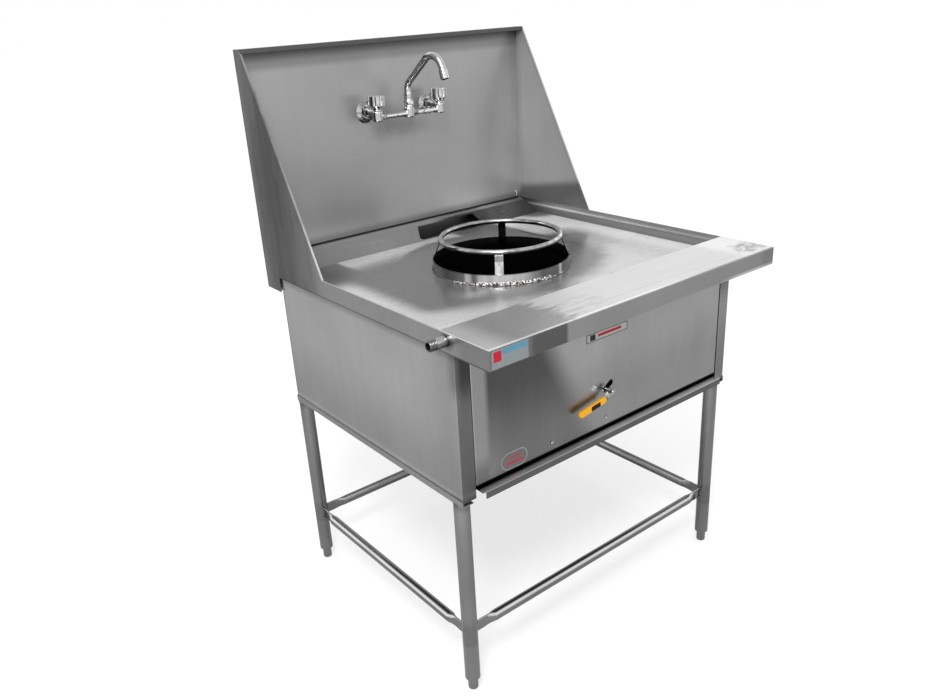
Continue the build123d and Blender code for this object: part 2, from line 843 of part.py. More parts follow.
def burner_bracket():
    """Strap under the mixing tube, its ends up the outside of the drum."""
    seat = mix_z - mix_radius
    inner = drum_radius + touch
    outer = inner + bracket_bar
    y0, y1 = burner_y - bracket_width / 2, burner_y + bracket_width / 2
    top = drum_foot_z + bracket_reach
    strap = block(-outer, outer, y0, y1, seat - bracket_bar, seat)
    for side in (-1, 1):
        x0, x1 = sorted((side * inner, side * outer))
        strap += block(x0, x1, y0, y1, seat - bracket_bar, top)
    return strap


# ---------------------------------------------------------------- gas line
def elbow(centre, first, second):
    """Screwed elbow between two directions, with a band at each mouth."""
    centre, first, second = Vector(*centre), Vector(*first), Vector(*second)
    ends = (centre + first * elbow_reach, centre, centre + second * elbow_reach)
    body = bent_bar(ends, elbow_bend, elbow_radius)
    for way in (first, second):
        body += rod(centre + way * (elbow_reach - elbow_band), way, elbow_band_radius, elbow_band)
    body -= bent_bar(ends, elbow_bend, pipe_bore)
    for way in (first, second):
        body -= rod(centre + way * (elbow_reach - screw_in), way, pipe_radius + fitted, screw_in + 1)
    return body


def hollow(start, direction, radius, bore, length):
    return rod(start, direction, radius, length) - rod(start, direction, bore, length)


def gas_inlet_pipe():
    """Threaded inlet, thick socket through the side apron and the pipe along under the shelf."""
    end_x = -side_out - stub_length
    socket_start = end_x + thread_length
    socket_end = -side_in + inlet_socket_inside
    pipe_end = valve_x - elbow_reach + screw_in
    pipe = rod((end_x, pipe_y, pipe_z), (1, 0, 0), thread_radius, thread_length + 1)
    pipe += rod((socket_start, pipe_y, pipe_z), (1, 0, 0), inlet_socket_radius, socket_end - socket_start)
    pipe += rod((socket_start, pipe_y, pipe_z), (1, 0, 0), pipe_radius, pipe_end - socket_start)
    return pipe - rod((end_x - 1, pipe_y, pipe_z), (1, 0, 0), pipe_bore, pipe_end - end_x + 2)


def gas_elbows():
    upper = elbow((valve_x, pipe_y, pipe_z), (-1, 0, 0), (0, 0, -1))
    lower = elbow((valve_x, pipe_y, feed_z), (0, 0, 1), (0, 1, 0))
    return [upper, lower]


def gas_drop_pipes():
    """Pipe down to the valve and the short nipple below it."""
    drop_foot = valve_z + valve_reach - screw_in
    drop_top = pipe_z - elbow_reach + screw_in
    nipple_foot = feed_z + elbow_reach - screw_in
    nipple_top = valve_z - valve_reach + screw_in
    pipes = []
    for low, high in ((drop_foot, drop_top), (nipple_foot, nipple_top)):
        pipes.append(hollow((valve_x, pipe_y, low), (0, 0, 1), pipe_radius, pipe_bore, high - low))
    return pipes


def valve_body():
    """Ball valve: two hexagon ends on a barrel, a cavity for the ball and a hole for the stem."""
    centre = (valve_x, pipe_y, valve_z)
    foot_z = valve_z - valve_reach
    body = hexagon((valve_x, pipe_y, foot_z), (0, 0, 1), valve_hex, 2 * valve_reach)
    barrel_foot = (valve_x, pipe_y, valve_z - valve_barrel_half)
    barrel = rod(barrel_foot, (0, 0, 1), valve_barrel_radius, 2 * valve_barrel_half)
    body += chamfer(barrel.edges().filter_by(GeomType.CIRCLE), valve_barrel_chamfer)
    body -= Pos(*centre) * Sphere(ball_radius + 2 * running)
    body -= rod((valve_x, pipe_y, foot_z - 1), (0, 0, 1), ball_bore, 2 * valve_reach + 2)
    body -= rod((valve_x, pipe_y, foot_z - 1), (0, 0, 1), pipe_radius + fitted, screw_in + 1)
    top = (valve_x, pipe_y, valve_z + valve_reach - screw_in)
    body -= rod(top, (0, 0, 1), pipe_radius + fitted, screw_in + 1)
    body -= rod(centre, (0, -1, 0), stem_radius + running, 30)
    return body


def valve_ball():
    """Bored ball, shown shut: its bore lies across the pipe. Its stem grows out of it towards the front."""
    centre = (valve_x, pipe_y, valve_z)
    ball = Pos(*centre) * Sphere(ball_radius)
    ball += rod(centre, (0, -1, 0), stem_radius, pipe_y - lever_back)
    ball += rod(centre, (0, -1, 0), stem_thread_radius, pipe_y - lever_front + nut_height + stem_end)
    return ball - rod((valve_x - 30, pipe_y, valve_z), (1, 0, 0), ball_bore, 60)


def lever_path():
    corners = [(0, 0), lever_elbow, lever_tip]
    return [(valve_x + x, valve_z + z) for x, z in corners]


def flat_bar(points, width, y0, y1):
    """A flat bar that follows points drawn in (x, z), with round ends, between two depths."""
    bar = None
    for (xa, za), (xb, zb) in zip(points, points[1:]):
        length = sqrt((xb - xa) ** 2 + (zb - za) ** 2)
        angle = degrees(atan2(zb - za, xb - xa))
        middle = Plane(origin=((xa + xb) / 2, y1, (za + zb) / 2), x_dir=(1, 0, 0), z_dir=(0, -1, 0))
        piece = extrude(middle * Rotation(0, 0, angle) * SlotCenterToCenter(length, width), amount=y1 - y0)
        bar = piece if bar is None else bar + piece
    return bar


def valve_lever():
    """Flat cranked lever with an eye on the stem."""
    lever = flat_bar(lever_path(), lever_width, lever_front, lever_back)
    lever += rod((valve_x, lever_front, valve_z), (0, 1, 0), lever_eye_radius, lever_thickness)
    return lever - rod((valve_x, lever_front - 5, valve_z), (0, 1, 0), stem_thread_radius + fitted, 10)


def lever_sleeve():
    """Soft sleeve over the outer leg of the lever."""
    _, (xa, za), (xb, zb) = lever_path()
    length = sqrt((xb - xa) ** 2 + (zb - za) ** 2)
    along = ((xb - xa) / length, (zb - za) / length)
    start = (xa + along[0] * sleeve_start, za + along[1] * sleeve_start)
    tip = (xb + along[0] * sleeve_cap, zb + along[1] * sleeve_cap)
    half = sleeve_thickness / 2
    sleeve = flat_bar([start, tip], sleeve_width, lever_y - half, lever_y + half)
    ends = sleeve.faces().filter_by(Axis.Y)
    sleeve = fillet(ends.edges(), sleeve_rounding)
    return sleeve - flat_bar(lever_path(), lever_width, lever_front, lever_back)


def lever_nut():
    nut = hexagon((valve_x, lever_front, valve_z), (0, -1, 0), nut_size, nut_height)
    return nut - rod((valve_x, lever_front + 1, valve_z), (0, -1, 0), stem_thread_radius + fitted, 20)


def feed_pipe():
    """Bent tube from the lower elbow to the injector on the burner's middle line."""
    start_y = pipe_y + elbow_reach - screw_in
    jet_start = mix_mouth_y - 2 * touch - shutter_thickness - injector_hex_length
    end_y = jet_start + screw_in
    mid_a, mid_b = (start_y + share * (end_y - start_y) for share in feed_corners)
    points = (
        (valve_x, start_y, feed_z),
        (valve_x, mid_a, feed_z),
        (0, mid_b, feed_z),
        (0, end_y, feed_z),
    )
    pipe = bent_bar(points, feed_bend, feed_radius)
    pipe += rod((valve_x, start_y, feed_z), (0, 1, 0), pipe_radius, screw_in + 4)
    return pipe - bent_bar(points, feed_bend, feed_bore)


def valve_bracket():
    """Strip screwed behind the front panel, with a clip round the nipple under the valve."""
    x0 = screw_xs[0] - strip_end
    x1 = screw_xs[1] + strip_end
    low = screw_z - strip_height / 2
    high = screw_z + strip_height / 2
    strip = block(x0, x1, panel_back, panel_back + rail_bar, low, high)
    for x in screw_xs:
        strip -= rod((x, panel_back - 1, screw_z), (0, 1, 0), screw_radius + running, 6)
    clip_z = (feed_z + elbow_reach + valve_z - valve_reach) / 2 - clip_height / 2
    clip = hollow(
        (valve_x, pipe_y, clip_z), (0, 0, 1), pipe_radius + clip_wall, pipe_radius + fitted, clip_height
    )
    x0, x1 = valve_x - strip_tongue / 2, valve_x + strip_tongue / 2
    clip_top = clip_z + clip_height
    tongue = block(x0, x1, panel_back, panel_back + rail_bar, high, clip_top)
    neck = block(x0, x1, panel_back, pipe_y - pipe_radius - 1, clip_z, clip_top)
    return strip + tongue + neck + clip


def panel_screws():
    screws = []
    for x in screw_xs:
        head = rod((x, body_front_y, screw_z), (0, -1, 0), screw_head_radius, screw_head_height)
        head = fillet(head.edges().group_by(Axis.Y)[0], screw_head_rounding)
        shank_length = body_sheet + rail_bar + screw_shank
        screws.append(head + rod((x, body_front_y, screw_z), (0, 1, 0), screw_radius, shank_length))
    return screws


# ---------------------------------------------------------------- drip tray
def drip_tray():
    """Pan under the burner with side flanges on the runners and a turned-down front as its pull."""
    under = tray_z - body_sheet
    lip_y = body_front_y - tray_lip_reach
    fold_end = lip_y + body_sheet + fold_radius
    pan = block(-tray_half, tray_half, tray_front_y, tray_back_y, tray_z - tray_depth, tray_z)
    pan -= block(
        -tray_half + body_sheet,
        tray_half - body_sheet,
        tray_front_y + body_sheet,
        tray_back_y - body_sheet,
        tray_z - tray_depth + body_sheet,
        tray_z + 1,
    )
    for side in (-1, 1):
        x0, x1 = sorted((side * tray_half, side * flange_half))
        pan += block(x0, x1, tray_front_y, tray_back_y, under, tray_z)
    pan += block(-front_half, front_half, fold_end, tray_front_y + body_sheet, under, tray_z)
    lip_points = ((fold_end + fold_radius, tray_z), (lip_y, tray_z), (lip_y, tray_z - tray_lip_drop))
    lip_half = front_half - tray_lip_inset
    pan += along_x(folded(lip_points, body_sheet, Side.LEFT), -lip_half, lip_half)
    return pan


def tray_runners():
    """Angles inside the side panels that carry the tray's flanges."""
    top = tray_z - body_sheet - touch
    inner_wall = body_out - body_sheet
    inner_edge = tray_half + runner_edge_gap
    front = body_front_y + body_sheet + runner_front_gap
    back = body_back_y - runner_setback
    ledge = block(-inner_wall, -inner_edge, front, back, top - rail_bar, top)
    upright = block(-inner_wall, -inner_wall + rail_bar, front, back, top, top + runner_height)
    runner = ledge + upright
    return [runner, mirrored(runner)]


# ---------------------------------------------------------------- tap
def belly_rod(x, foot_z, belly_top, top_z):
    """Upright casting of the tap: a round-ended belly with a narrower neck on top."""
    belly = rod((x, tap_y, foot_z), (0, 0, 1), tap_belly_radius, belly_top - foot_z)
    belly = fillet(belly.edges().filter_by(GeomType.CIRCLE), belly_rounding)
    neck_start = foot_z + belly_rounding
    return belly + rod((x, tap_y, neck_start), (0, 0, 1), tap_neck_radius, top_z - neck_start)


def cross_tube():
    """Tube between the barrels, flared towards the tee and towards each barrel."""
    wide = cross_radius + cross_flare
    tee_end = tap_neck_radius + flare_length
    barrel_end = tap_x - tap_neck_radius - flare_length
    profile = (
        (0, 0),
        (wide, 0),
        (wide, tap_neck_radius),
        (cross_radius, tee_end),
        (cross_radius, barrel_end),
        (wide, tap_x - tap_neck_radius),
        (wide, tap_x),
        (0, tap_x),
    )
    half = turned(profile, centre=(0, tap_y, cross_z), axis=(1, 0, 0))
    return half + mirrored(half)


def tap_body():
    """Wall mixer body: two valve barrels with inlets to the wall, a cross tube and the spout's tee."""
    foot_z = cross_z - tap_neck_radius
    belly_top = tap_z + inlet_radius - belly_drop
    tail_end = back_in + tail_length
    shank_end = tail_end - tail_thread
    nut_start = splash_face - flange_depth - flange_nut_gap - flange_nut_height
    nut_size = 2 * (inlet_radius + flange_nut_wall)
    hole_foot = barrel_top - spindle_depth
    body = cross_tube() + belly_rod(0, foot_z, belly_top, tee_top)
    for x in (-tap_x, tap_x):
        body += belly_rod(x, foot_z, belly_top, barrel_top)
        body += rod((x, tap_y, tap_z), (0, 1, 0), inlet_radius, shank_end - tap_y)
        body += rod((x, shank_end, tap_z), (0, 1, 0), thread_radius, tail_thread)
        body += hexagon((x, nut_start, tap_z), (0, 1, 0), nut_size, flange_nut_height)
    for x in (-tap_x, tap_x):
        body -= rod((x, tap_y + spindle_radius, tap_z), (0, 1, 0), tap_bore, tail_end - tap_y)
        body -= rod((x, tap_y, hole_foot), (0, 0, 1), spindle_radius + running, barrel_top - hole_foot + 1)
    return body - rod((0, tap_y, foot_z + tee_floor), (0, 0, 1), spout_bore, tee_top - foot_z)


def tap_flanges():
    """Domed cover plates where the inlets meet the splashback."""
    face = splash_face
    bore = inlet_radius + fitted
    front = face - flange_depth
    step = (flange_radius - bore) / 4
    profile = (
        (bore, face),
        (flange_radius, face),
        (flange_radius, face - flange_depth / 4),
        (flange_radius - step, face - flange_depth / 2),
        (flange_radius - 2 * step, front + flange_roll),
        (bore + step, front),
        (bore, front),
    )
    return [turned(profile, centre=(x, 0, tap_z), axis=(0, 1, 0)) for x in (-tap_x, tap_x)]


def tap_backnuts():
    nuts = []
    for x in (-tap_x, tap_x):
        nut = hexagon((x, back_in, tap_z), (0, 1, 0), backnut_size, backnut_height)
        hole = rod((x, back_in - 1, tap_z), (0, 1, 0), inlet_radius + fitted, backnut_height + 2)
        nuts.append(nut - hole)
    return nuts


def tap_bonnets():
    """Hexagon headworks on the two valve barrels."""
    foot_z = barrel_top
    bonnets = []
    for x in (-tap_x, tap_x):
        bonnet = hexagon((x, tap_y, foot_z), (0, 0, 1), bonnet_size, bonnet_height / 2)
        bonnet += rod((x, tap_y, foot_z), (0, 0, 1), bonnet_collar_radius, bonnet_height)
        hole = rod((x, tap_y, foot_z - 1), (0, 0, 1), spindle_radius + running, bonnet_height + 2)
        bonnets.append(bonnet - hole)
    return bonnets


def tap_handle(x):
    """Fluted turning knob on a round skirt, with its spindle down in the headwork."""
    foot_z = barrel_top + knob_lift
    skirt_top = foot_z + knob_skirt_height
    top_z = foot_z + knob_height
    outline = Circle(knob_radius)
    for place in PolarLocations(knob_radius + flute_radius - flute_depth, knob_flutes):
        outline -= place * Circle(flute_radius)
    knob = up_z(outline, skirt_top, top_z)
    knob = chamfer(knob.edges().group_by(Axis.Z)[-1], knob_edge)
    knob += rod((0, 0, foot_z), (0, 0, 1), knob_skirt_radius, knob_skirt_height + 1)
    knob -= rod((0, 0, foot_z - 1), (0, 0, 1), knob_bore, bonnet_height - knob_lift + knob_recess)
    spindle_foot = barrel_top - spindle_depth + touch
    knob += rod((0, 0, spindle_foot), (0, 0, 1), spindle_radius, top_z - knob_web - spindle_foot)
    return Pos(x, tap_y, 0) * knob


def tap_spout():
    """Swivel spout: riser, sloping run and a high bend down to the outlet, which has a sleeve."""
    low = tee_top + touch
    corner_z = low + spout_riser
    outlet = Vector(0, tap_y - spout_reach, corner_z + spout_rise)
    slope = Vector(0, -cos(radians(spout_slope)), sin(radians(spout_slope)))
    fall = Vector(0, -sin(radians(spout_tilt)), -cos(radians(spout_tilt)))
    foot = Vector(0, tap_y, corner_z)
    across = outlet - foot
    climb = (across.Y * fall.Z - across.Z * fall.Y) / (slope.Y * fall.Z - slope.Z * fall.Y)
    points = ((0, tap_y, low), foot, foot + slope * climb, outlet)
    radii = [spout_low_bend, spout_high_bend]
    spout = bent_bar(points, radii, spout_radius)
    sleeve = rod(outlet, -fall, spout_tip_radius, spout_tip_length)
    spout += chamfer(sleeve.edges().filter_by(GeomType.CIRCLE), spout_edge)
    ferrule_z = tee_top + spout_nut_height + touch
    ferrule = rod((0, tap_y, ferrule_z), (0, 0, 1), spout_ferrule_radius, spout_ferrule_length)
    spout += chamfer(ferrule.edges().filter_by(GeomType.CIRCLE), spout_edge)
    return spout - bent_bar(points, radii, spout_bore)


def spout_nut():
    """Swivel nut on the tee that holds the spout's foot and lets it turn."""
    foot_z = tee_top
    nut = hexagon((0, tap_y, foot_z), (0, 0, 1), spout_nut_size, spout_nut_hex_height)
    nut += rod((0, tap_y, foot_z), (0, 0, 1), spout_nut_collar_radius, spout_nut_height)
    return nut - rod((0, tap_y, foot_z - 1), (0, 0, 1), spout_radius + running, spout_nut_height + 2)


# ---------------------------------------------------------------- write every piece
def save(name, part):
    pieces = part if isinstance(part, list) else [part]
    solids = [solid for piece in pieces for solid in (shift * piece).solids()]
    whole = solids[0] if len(solids) == 1 else Compound(children=solids)
    export_step(whole, f"parts/{name}.step")


os.makedirs("parts", exist_ok=True)

corners = {
    "front_left": (-leg_x, front_leg_y),
    "front_right": (leg_x, front_leg_y),
    "rear_left": (-leg_x, rear_leg_y),
    "rear_right": (leg_x, rear_leg_y),
}
for corner, (x, y) in corners.items():
    save(f"leg_{corner}", leg(x, y))
    save(f"foot_{corner}", foot(x, y))
save("foot_sockets", [foot_socket(x, y) for x, y in corners.values()])

braces = {
    "front": ("front_left", "front_right", front_brace_z),
    "left": ("front_left", "rear_left", side_brace_z),
    "right": ("front_right", "rear_right", side_brace_z),
    "rear": ("rear_left", "rear_right", rear_brace_z),
}
for side, (start, end, z) in braces.items():
    save(f"brace_{side}", brace(corners[start], corners[end], z))

save("base_rail_left", base_rail_left())
save("base_rail_right", mirrored(base_rail_left()))
save("base_rail_rear", base_rail_rear())
save("side_panel_left", side_panel_left())
save("side_panel_right", mirrored(side_panel_left()))
save("rear_panel", rear_panel())
save("front_panel", front_panel())
save("front_shelf", front_shelf())
save("worktop", worktop())
save("wing_left", wing_left() - gas_hole())
save("wing_right", mirrored(wing_left()))
save("splashback", splashback())
save("rear_gutter", rear_gutter())

save("burner_drum", burner_drum())
save("drum_lining", drum_lining())
save("wok_ring", wok_ring())
for index in range(post_count):
    save(f"ring_post_{index + 1}", ring_post(post_first_angle + index * 360 / post_count))

save("burner_head", burner_head())
save("mixing_tube", mixing_tube())
save("air_shutter", air_shutter())
save("injector", injector())
save("burner_bracket", burner_bracket())

save("gas_inlet_pipe", gas_inlet_pipe())
save("gas_elbows", gas_elbows())
save("gas_drop_pipes", gas_drop_pipes())
save("feed_pipe", feed_pipe())
save("valve_body", valve_body())
save("valve_ball", valve_ball())
save("valve_lever", valve_lever())
save("lever_sleeve", lever_sleeve())
save("lever_nut", lever_nut())
save("valve_bracket", valve_bracket())
save("panel_screws", panel_screws())

save("drip_tray", drip_tray())
save("tray_runners", tray_runners())

save("tap_body", tap_body())
save("tap_flanges", tap_flanges())
save("tap_backnuts", tap_backnuts())
save("tap_bonnets", tap_bonnets())
save("tap_handle_left", tap_handle(-tap_x))
save("tap_handle_right", tap_handle(tap_x))
save("tap_spout", tap_spout())
save("spout_nut", spout_nut())
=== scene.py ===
# %% [markdown]
# # A wok range in satin stainless steel
# The range was built in CAD: folded sheets, tube legs, a burner and a wall tap, each at its real size.
# This lesson dresses that model. It never moves a CAD piece. It gives every surface a finish, rounds what
# the CAD export left faceted, and adds what is too fine for CAD, such as weld beads and pipe thread.

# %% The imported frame
import json
from math import cos, pi, radians, sin

import bmesh
import bpy
from mathutils import Matrix, Vector

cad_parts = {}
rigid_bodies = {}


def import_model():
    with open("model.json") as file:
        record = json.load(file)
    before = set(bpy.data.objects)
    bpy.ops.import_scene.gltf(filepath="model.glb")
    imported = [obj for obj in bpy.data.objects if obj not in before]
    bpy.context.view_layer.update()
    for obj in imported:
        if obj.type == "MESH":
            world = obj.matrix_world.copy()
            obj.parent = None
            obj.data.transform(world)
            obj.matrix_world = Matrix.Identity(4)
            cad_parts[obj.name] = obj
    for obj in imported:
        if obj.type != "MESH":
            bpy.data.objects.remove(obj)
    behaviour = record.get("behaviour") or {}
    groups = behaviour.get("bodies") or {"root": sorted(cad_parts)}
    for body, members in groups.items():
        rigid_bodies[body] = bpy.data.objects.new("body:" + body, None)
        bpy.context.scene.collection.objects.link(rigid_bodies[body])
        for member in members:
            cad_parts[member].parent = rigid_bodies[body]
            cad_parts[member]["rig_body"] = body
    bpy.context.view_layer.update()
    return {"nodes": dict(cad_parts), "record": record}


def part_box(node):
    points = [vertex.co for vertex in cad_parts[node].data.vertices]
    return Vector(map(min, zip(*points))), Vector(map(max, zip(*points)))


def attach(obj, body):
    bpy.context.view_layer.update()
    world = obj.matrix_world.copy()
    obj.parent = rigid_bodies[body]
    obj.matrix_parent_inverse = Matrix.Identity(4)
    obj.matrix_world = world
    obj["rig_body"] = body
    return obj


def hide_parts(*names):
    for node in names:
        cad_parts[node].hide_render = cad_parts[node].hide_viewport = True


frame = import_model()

MM = 0.001
node_slot = {row["node"]: row["material_slot"] for row in frame["record"]["subparts"]}

# %% [markdown]
# ## Where things are
# The places of the pieces are worked out from the boxes of the CAD pieces. The front shelf gives the middle
# plane and the front edge, and the collar gives the burner. Only the stains and the painted light, shade and
# reflections have places of their own, in metres, because nothing in the CAD model says where they are.

# %% Landmarks
SHEET = 1.5 * MM  # the top's sheet; the cabinet's is thinner
shelf_low, shelf_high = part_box("front_shelf")
drum_low, drum_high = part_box("burner_drum")
lining_low, lining_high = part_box("drum_lining")
back_low, back_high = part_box("splashback")
wing_low, wing_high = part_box("wing_right")
inlet_low, inlet_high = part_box("gas_inlet_pipe")
panel_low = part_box("front_panel")[0]
tray_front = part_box("drip_tray")[0].y
middle_x = (shelf_low.x + shelf_high.x) / 2
left_x, right_x = shelf_low.x, shelf_high.x
front_y, rear_y = shelf_low.y, back_high.y
rim_z, floor_z = shelf_high.z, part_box("worktop")[0].z
burner = Vector(((drum_low.x + drum_high.x) / 2, (drum_low.y + drum_high.y) / 2, floor_z))
lining_radius = (lining_high.x - lining_low.x) / 2
inlet_end = Vector((inlet_low.x, (inlet_low.y + inlet_high.y) / 2, (inlet_low.z + inlet_high.z) / 2))
print("middle", round(middle_x, 4), "front", round(front_y, 4), "rim", round(rim_z, 4))


def middle_of(node):
    low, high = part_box(node)
    return (low + high) / 2


def add_object(name, data):
    """Puts a mesh, a lamp or a camera into the scene."""
    thing = bpy.data.objects.new(name, data)
    bpy.context.scene.collection.objects.link(thing)
    return thing


# %% [markdown]
# ## The camera
# The photograph was taken from the front left, a little above the worktop. The camera's place was found by
# matching the corners of the range. It is given from the middle of the shelf's front edge, at floor level.
# The lens follows from the focal length in pixels, because its sensor spans the picture's width.

# %% Camera
PICTURE_WIDTH = 934
FOCAL_PIXELS = 832.55
SENSOR_WIDTH = 36
VIEW_REACH = 200
CAMERA_FROM_FRONT = Vector((-1.3121, -1.0710, 1.4801))
CAMERA_YAW, CAMERA_PITCH, CAMERA_ROLL = radians(37.346), radians(22.656), radians(-3.331)


def camera_turn(yaw, pitch, roll):
    """The turn whose axes are the camera's right, up and backward directions."""
    forward = Vector((sin(yaw) * cos(pitch), cos(yaw) * cos(pitch), -sin(pitch)))
    level = Vector((cos(yaw), -sin(yaw), 0))
    upright = level.cross(forward)
    right = cos(roll) * level + sin(roll) * upright
    up = -sin(roll) * level + cos(roll) * upright
    return Matrix((right, up, -forward)).transposed().to_4x4()


lens = bpy.data.cameras.new("camera")
lens.sensor_width = SENSOR_WIDTH
lens.lens = SENSOR_WIDTH * FOCAL_PIXELS / PICTURE_WIDTH
lens.clip_end = VIEW_REACH
camera = add_object("camera", lens)
camera_place = Vector((middle_x, front_y, 0)) + CAMERA_FROM_FRONT
camera.matrix_world = Matrix.Translation(camera_place) @ camera_turn(CAMERA_YAW, CAMERA_PITCH, CAMERA_ROLL)
bpy.context.scene.camera = camera
print("lens", round(lens.lens, 2), "mm")

# %% [markdown]
# ## Node trees in plain Python
# A finish is easier to read as a formula than as a drawing of wires. `Value` wraps one socket, and the usual
# operators add the Math nodes. `Tree` holds a node tree, and its one method `add` makes any other node: first
# its settings, then the values or links of its sockets. The same two serve shaders and Geometry Nodes.

# %% A small language for node trees
class Value:
    """A number, colour or vector that varies from place to place."""

    def __init__(self, tree, socket):
        self.tree = tree
        self.socket = socket

    def maths(self, operation, first, second):
        return self.tree.add("ShaderNodeMath", {"operation": operation}, {0: first, 1: second})

    def __add__(self, other):
        return self.maths("ADD", self, other)

    def __sub__(self, other):
        return self.maths("SUBTRACT", self, other)

    def __rsub__(self, other):
        return self.maths("SUBTRACT", other, self)

    def __mul__(self, other):
        return self.maths("MULTIPLY", self, other)

    __radd__ = __add__
    __rmul__ = __mul__

    def rise(self, low, high):
        """0 at low, 1 at high and a smooth rise between; low may be the larger one."""
        sockets = {"Value": self, "From Min": low, "From Max": high}
        return self.tree.add("ShaderNodeMapRange", {"interpolation_type": "SMOOTHSTEP"}, sockets)

    def band(self, start, full, end, none):
        """0 before start, 1 from full to end, and 0 again past none."""
        return self.rise(start, full) * self.rise(none, end)


class Tree:
    """A node tree, with one method that adds any node."""

    def __init__(self, group):
        self.group = group

    def add(self, kind, settings=None, sockets=None, output=0):
        node = self.group.nodes.new(kind)
        for name, value in (settings or {}).items():
            setattr(node, name, value)
        for name, value in (sockets or {}).items():
            self.feed(node.inputs[name], value)
        return Value(self, node.outputs[output]) if len(node.outputs) else None

    def feed(self, socket, value):
        """Links a value to a socket, or sets a plain number or colour there."""
        if isinstance(value, Value):
            self.group.links.new(value.socket, socket)
        else:
            socket.default_value = value

    def output(self, value, name):
        """Another output of the node that made a value."""
        return Value(self, value.socket.node.outputs[name])


print("tree language ready")

# %% [markdown]
# A material or a world needs a few words more: places in the range's own frame, cloudy noise, soft spots and
# the Principled shader. A mask is a value that is 1 where a mark lies and 0 elsewhere.

# %% Words for finishes
COLOUR_A, COLOUR_B, COLOUR_OUTPUT = 6, 7, 2  # a Mix node's sockets for colours


def grey(level, warmth=0.0):
    """A grey, written as it should render, a little warm or cold."""
    return (level * (1 + warmth), level, level * (1 - warmth), 1)


class Finish(Tree):
    """The tree of a material or a world."""

    def __init__(self, owner):
        owner.use_nodes = True
        owner.node_tree.nodes.clear()
        super().__init__(owner.node_tree)
        self.owner = owner

    def parts(self, coordinate):
        """The x, y and z of a texture coordinate, such as Object or Normal."""
        vector = self.add("ShaderNodeTexCoord", output=coordinate)
        x = self.add("ShaderNodeSeparateXYZ", {}, {0: vector}, "X")
        return x, self.output(x, "Y"), self.output(x, "Z")

    def stretched(self, centre, sizes):
        """Where a point lies in the range's frame, from a centre and in a unit for each axis."""
        sockets = {"Vector": self.add("ShaderNodeTexCoord", output="Object")}
        sockets["Scale"] = [1 / size for size in sizes]
        sockets["Location"] = [-middle / size for middle, size in zip(centre, sizes)]
        return self.add("ShaderNodeMapping", {}, sockets)

    def distance(self, centre, sizes):
        """How far a point lies from a centre, in a unit for each axis."""
        moved = self.stretched(centre, sizes)
        return self.add("ShaderNodeVectorMath", {"operation": "LENGTH"}, {0: moved}, "Value")

    def noise(self, sizes, detail=3.0, centre=(0, 0, 0)):
        """Cloudy noise from 0 to 1; sizes gives the length of its lumps along each axis."""
        sizes = sizes if hasattr(sizes, "__len__") else (sizes, sizes, sizes)
        sockets = {"Vector": self.stretched(centre, sizes), "Scale": 1.0, "Detail": detail}
        return self.add("ShaderNodeTexNoise", {}, sockets)

    def streaky(self, lumps, low=0.45, high=0.62):
        """Patches of 1 among 0, each about as large as the lumps."""
        return self.noise(lumps, 4.0).rise(low, high)

    def spot(self, centre, radii, soft=0.7, ragged=0.0, lumps=0.06):
        """A patch: 1 in its middle, 0 outside its radii, with a cloudy edge where it is ragged."""
        distance = self.distance(centre, radii)
        if ragged:
            distance = distance + (self.noise(lumps, centre=centre) - 0.5) * ragged
        return distance.rise(1.0, 1.0 - soft)

    def mix(self, factor, first, second):
        """A colour between two, by a number from 0 to 1."""
        sockets = {0: factor, COLOUR_A: first, COLOUR_B: second}
        return self.add("ShaderNodeMix", {"data_type": "RGBA"}, sockets, COLOUR_OUTPUT)

    def shade(self, level):
        """A grey from black at 0 to white at 1."""
        return self.mix(level, grey(0), grey(1))

    def bump(self, height, distance):
        return self.add("ShaderNodeBump", {}, {"Height": height, "Distance": distance})

    def surface(self, **sockets):
        """Ends the tree in one Principled shader."""
        named = {name.replace("_", " ").title().replace("Ior", "IOR"): v for name, v in sockets.items()}
        shader = self.add("ShaderNodeBsdfPrincipled", {}, named)
        self.add("ShaderNodeOutputMaterial", {}, {"Surface": shader})
        return self.owner


def new_finish(name):
    """A material; x, y, z say where a point lies, face_x, face_y, face_z where its surface faces."""
    finish = Finish(bpy.data.materials.new(name))
    finish.x, finish.y, finish.z = finish.parts("Object")
    finish.face_x, finish.face_y, finish.face_z = finish.parts("Normal")
    return finish


print("finish language ready")

# %% [markdown]
# ## Studio
# The photograph shows the range cut out on white. Here a large white floor and a white horizon give that,
# and the range keeps its own soft shadow. Steel looks like what it reflects, so the studio has a few soft
# differences: the floor carries a painted pool of light towards the front left, which glows only in
# reflections, the ceiling is dim, and one round lamp hangs to the front left, which draws the bright line
# along each tube, helped by a painted highlight on the braces.

# %% Floor, sky and lamps
FLOOR_REACH = 60
PAPER_GREY, PAPER_GREY_SEEN, PAPER_GLOW = 0.62, 0.50, 0.55
POOL_CENTRE, POOL_REACH, POOL_GLOW = (-2.2, -1.8, 0), (3.2, 3.2, 1), 0.45
CEILING_START, CEILING_FULL, CEILING_LOSS = 0.30, 0.75, 0.55
SOFT_LIGHT = 0.80
LAMP_PLACE, LAMP_AIM = Vector((-2.0, -1.9, 3.3)), Vector((0, 0, 0.7))
LAMP_SIZE, LAMP_POWER = 0.9, 70
SUN_HEADING, SUN_HEIGHT, SUN_SPREAD, SUN_STRENGTH = radians(-50), radians(60), radians(50), 0.5


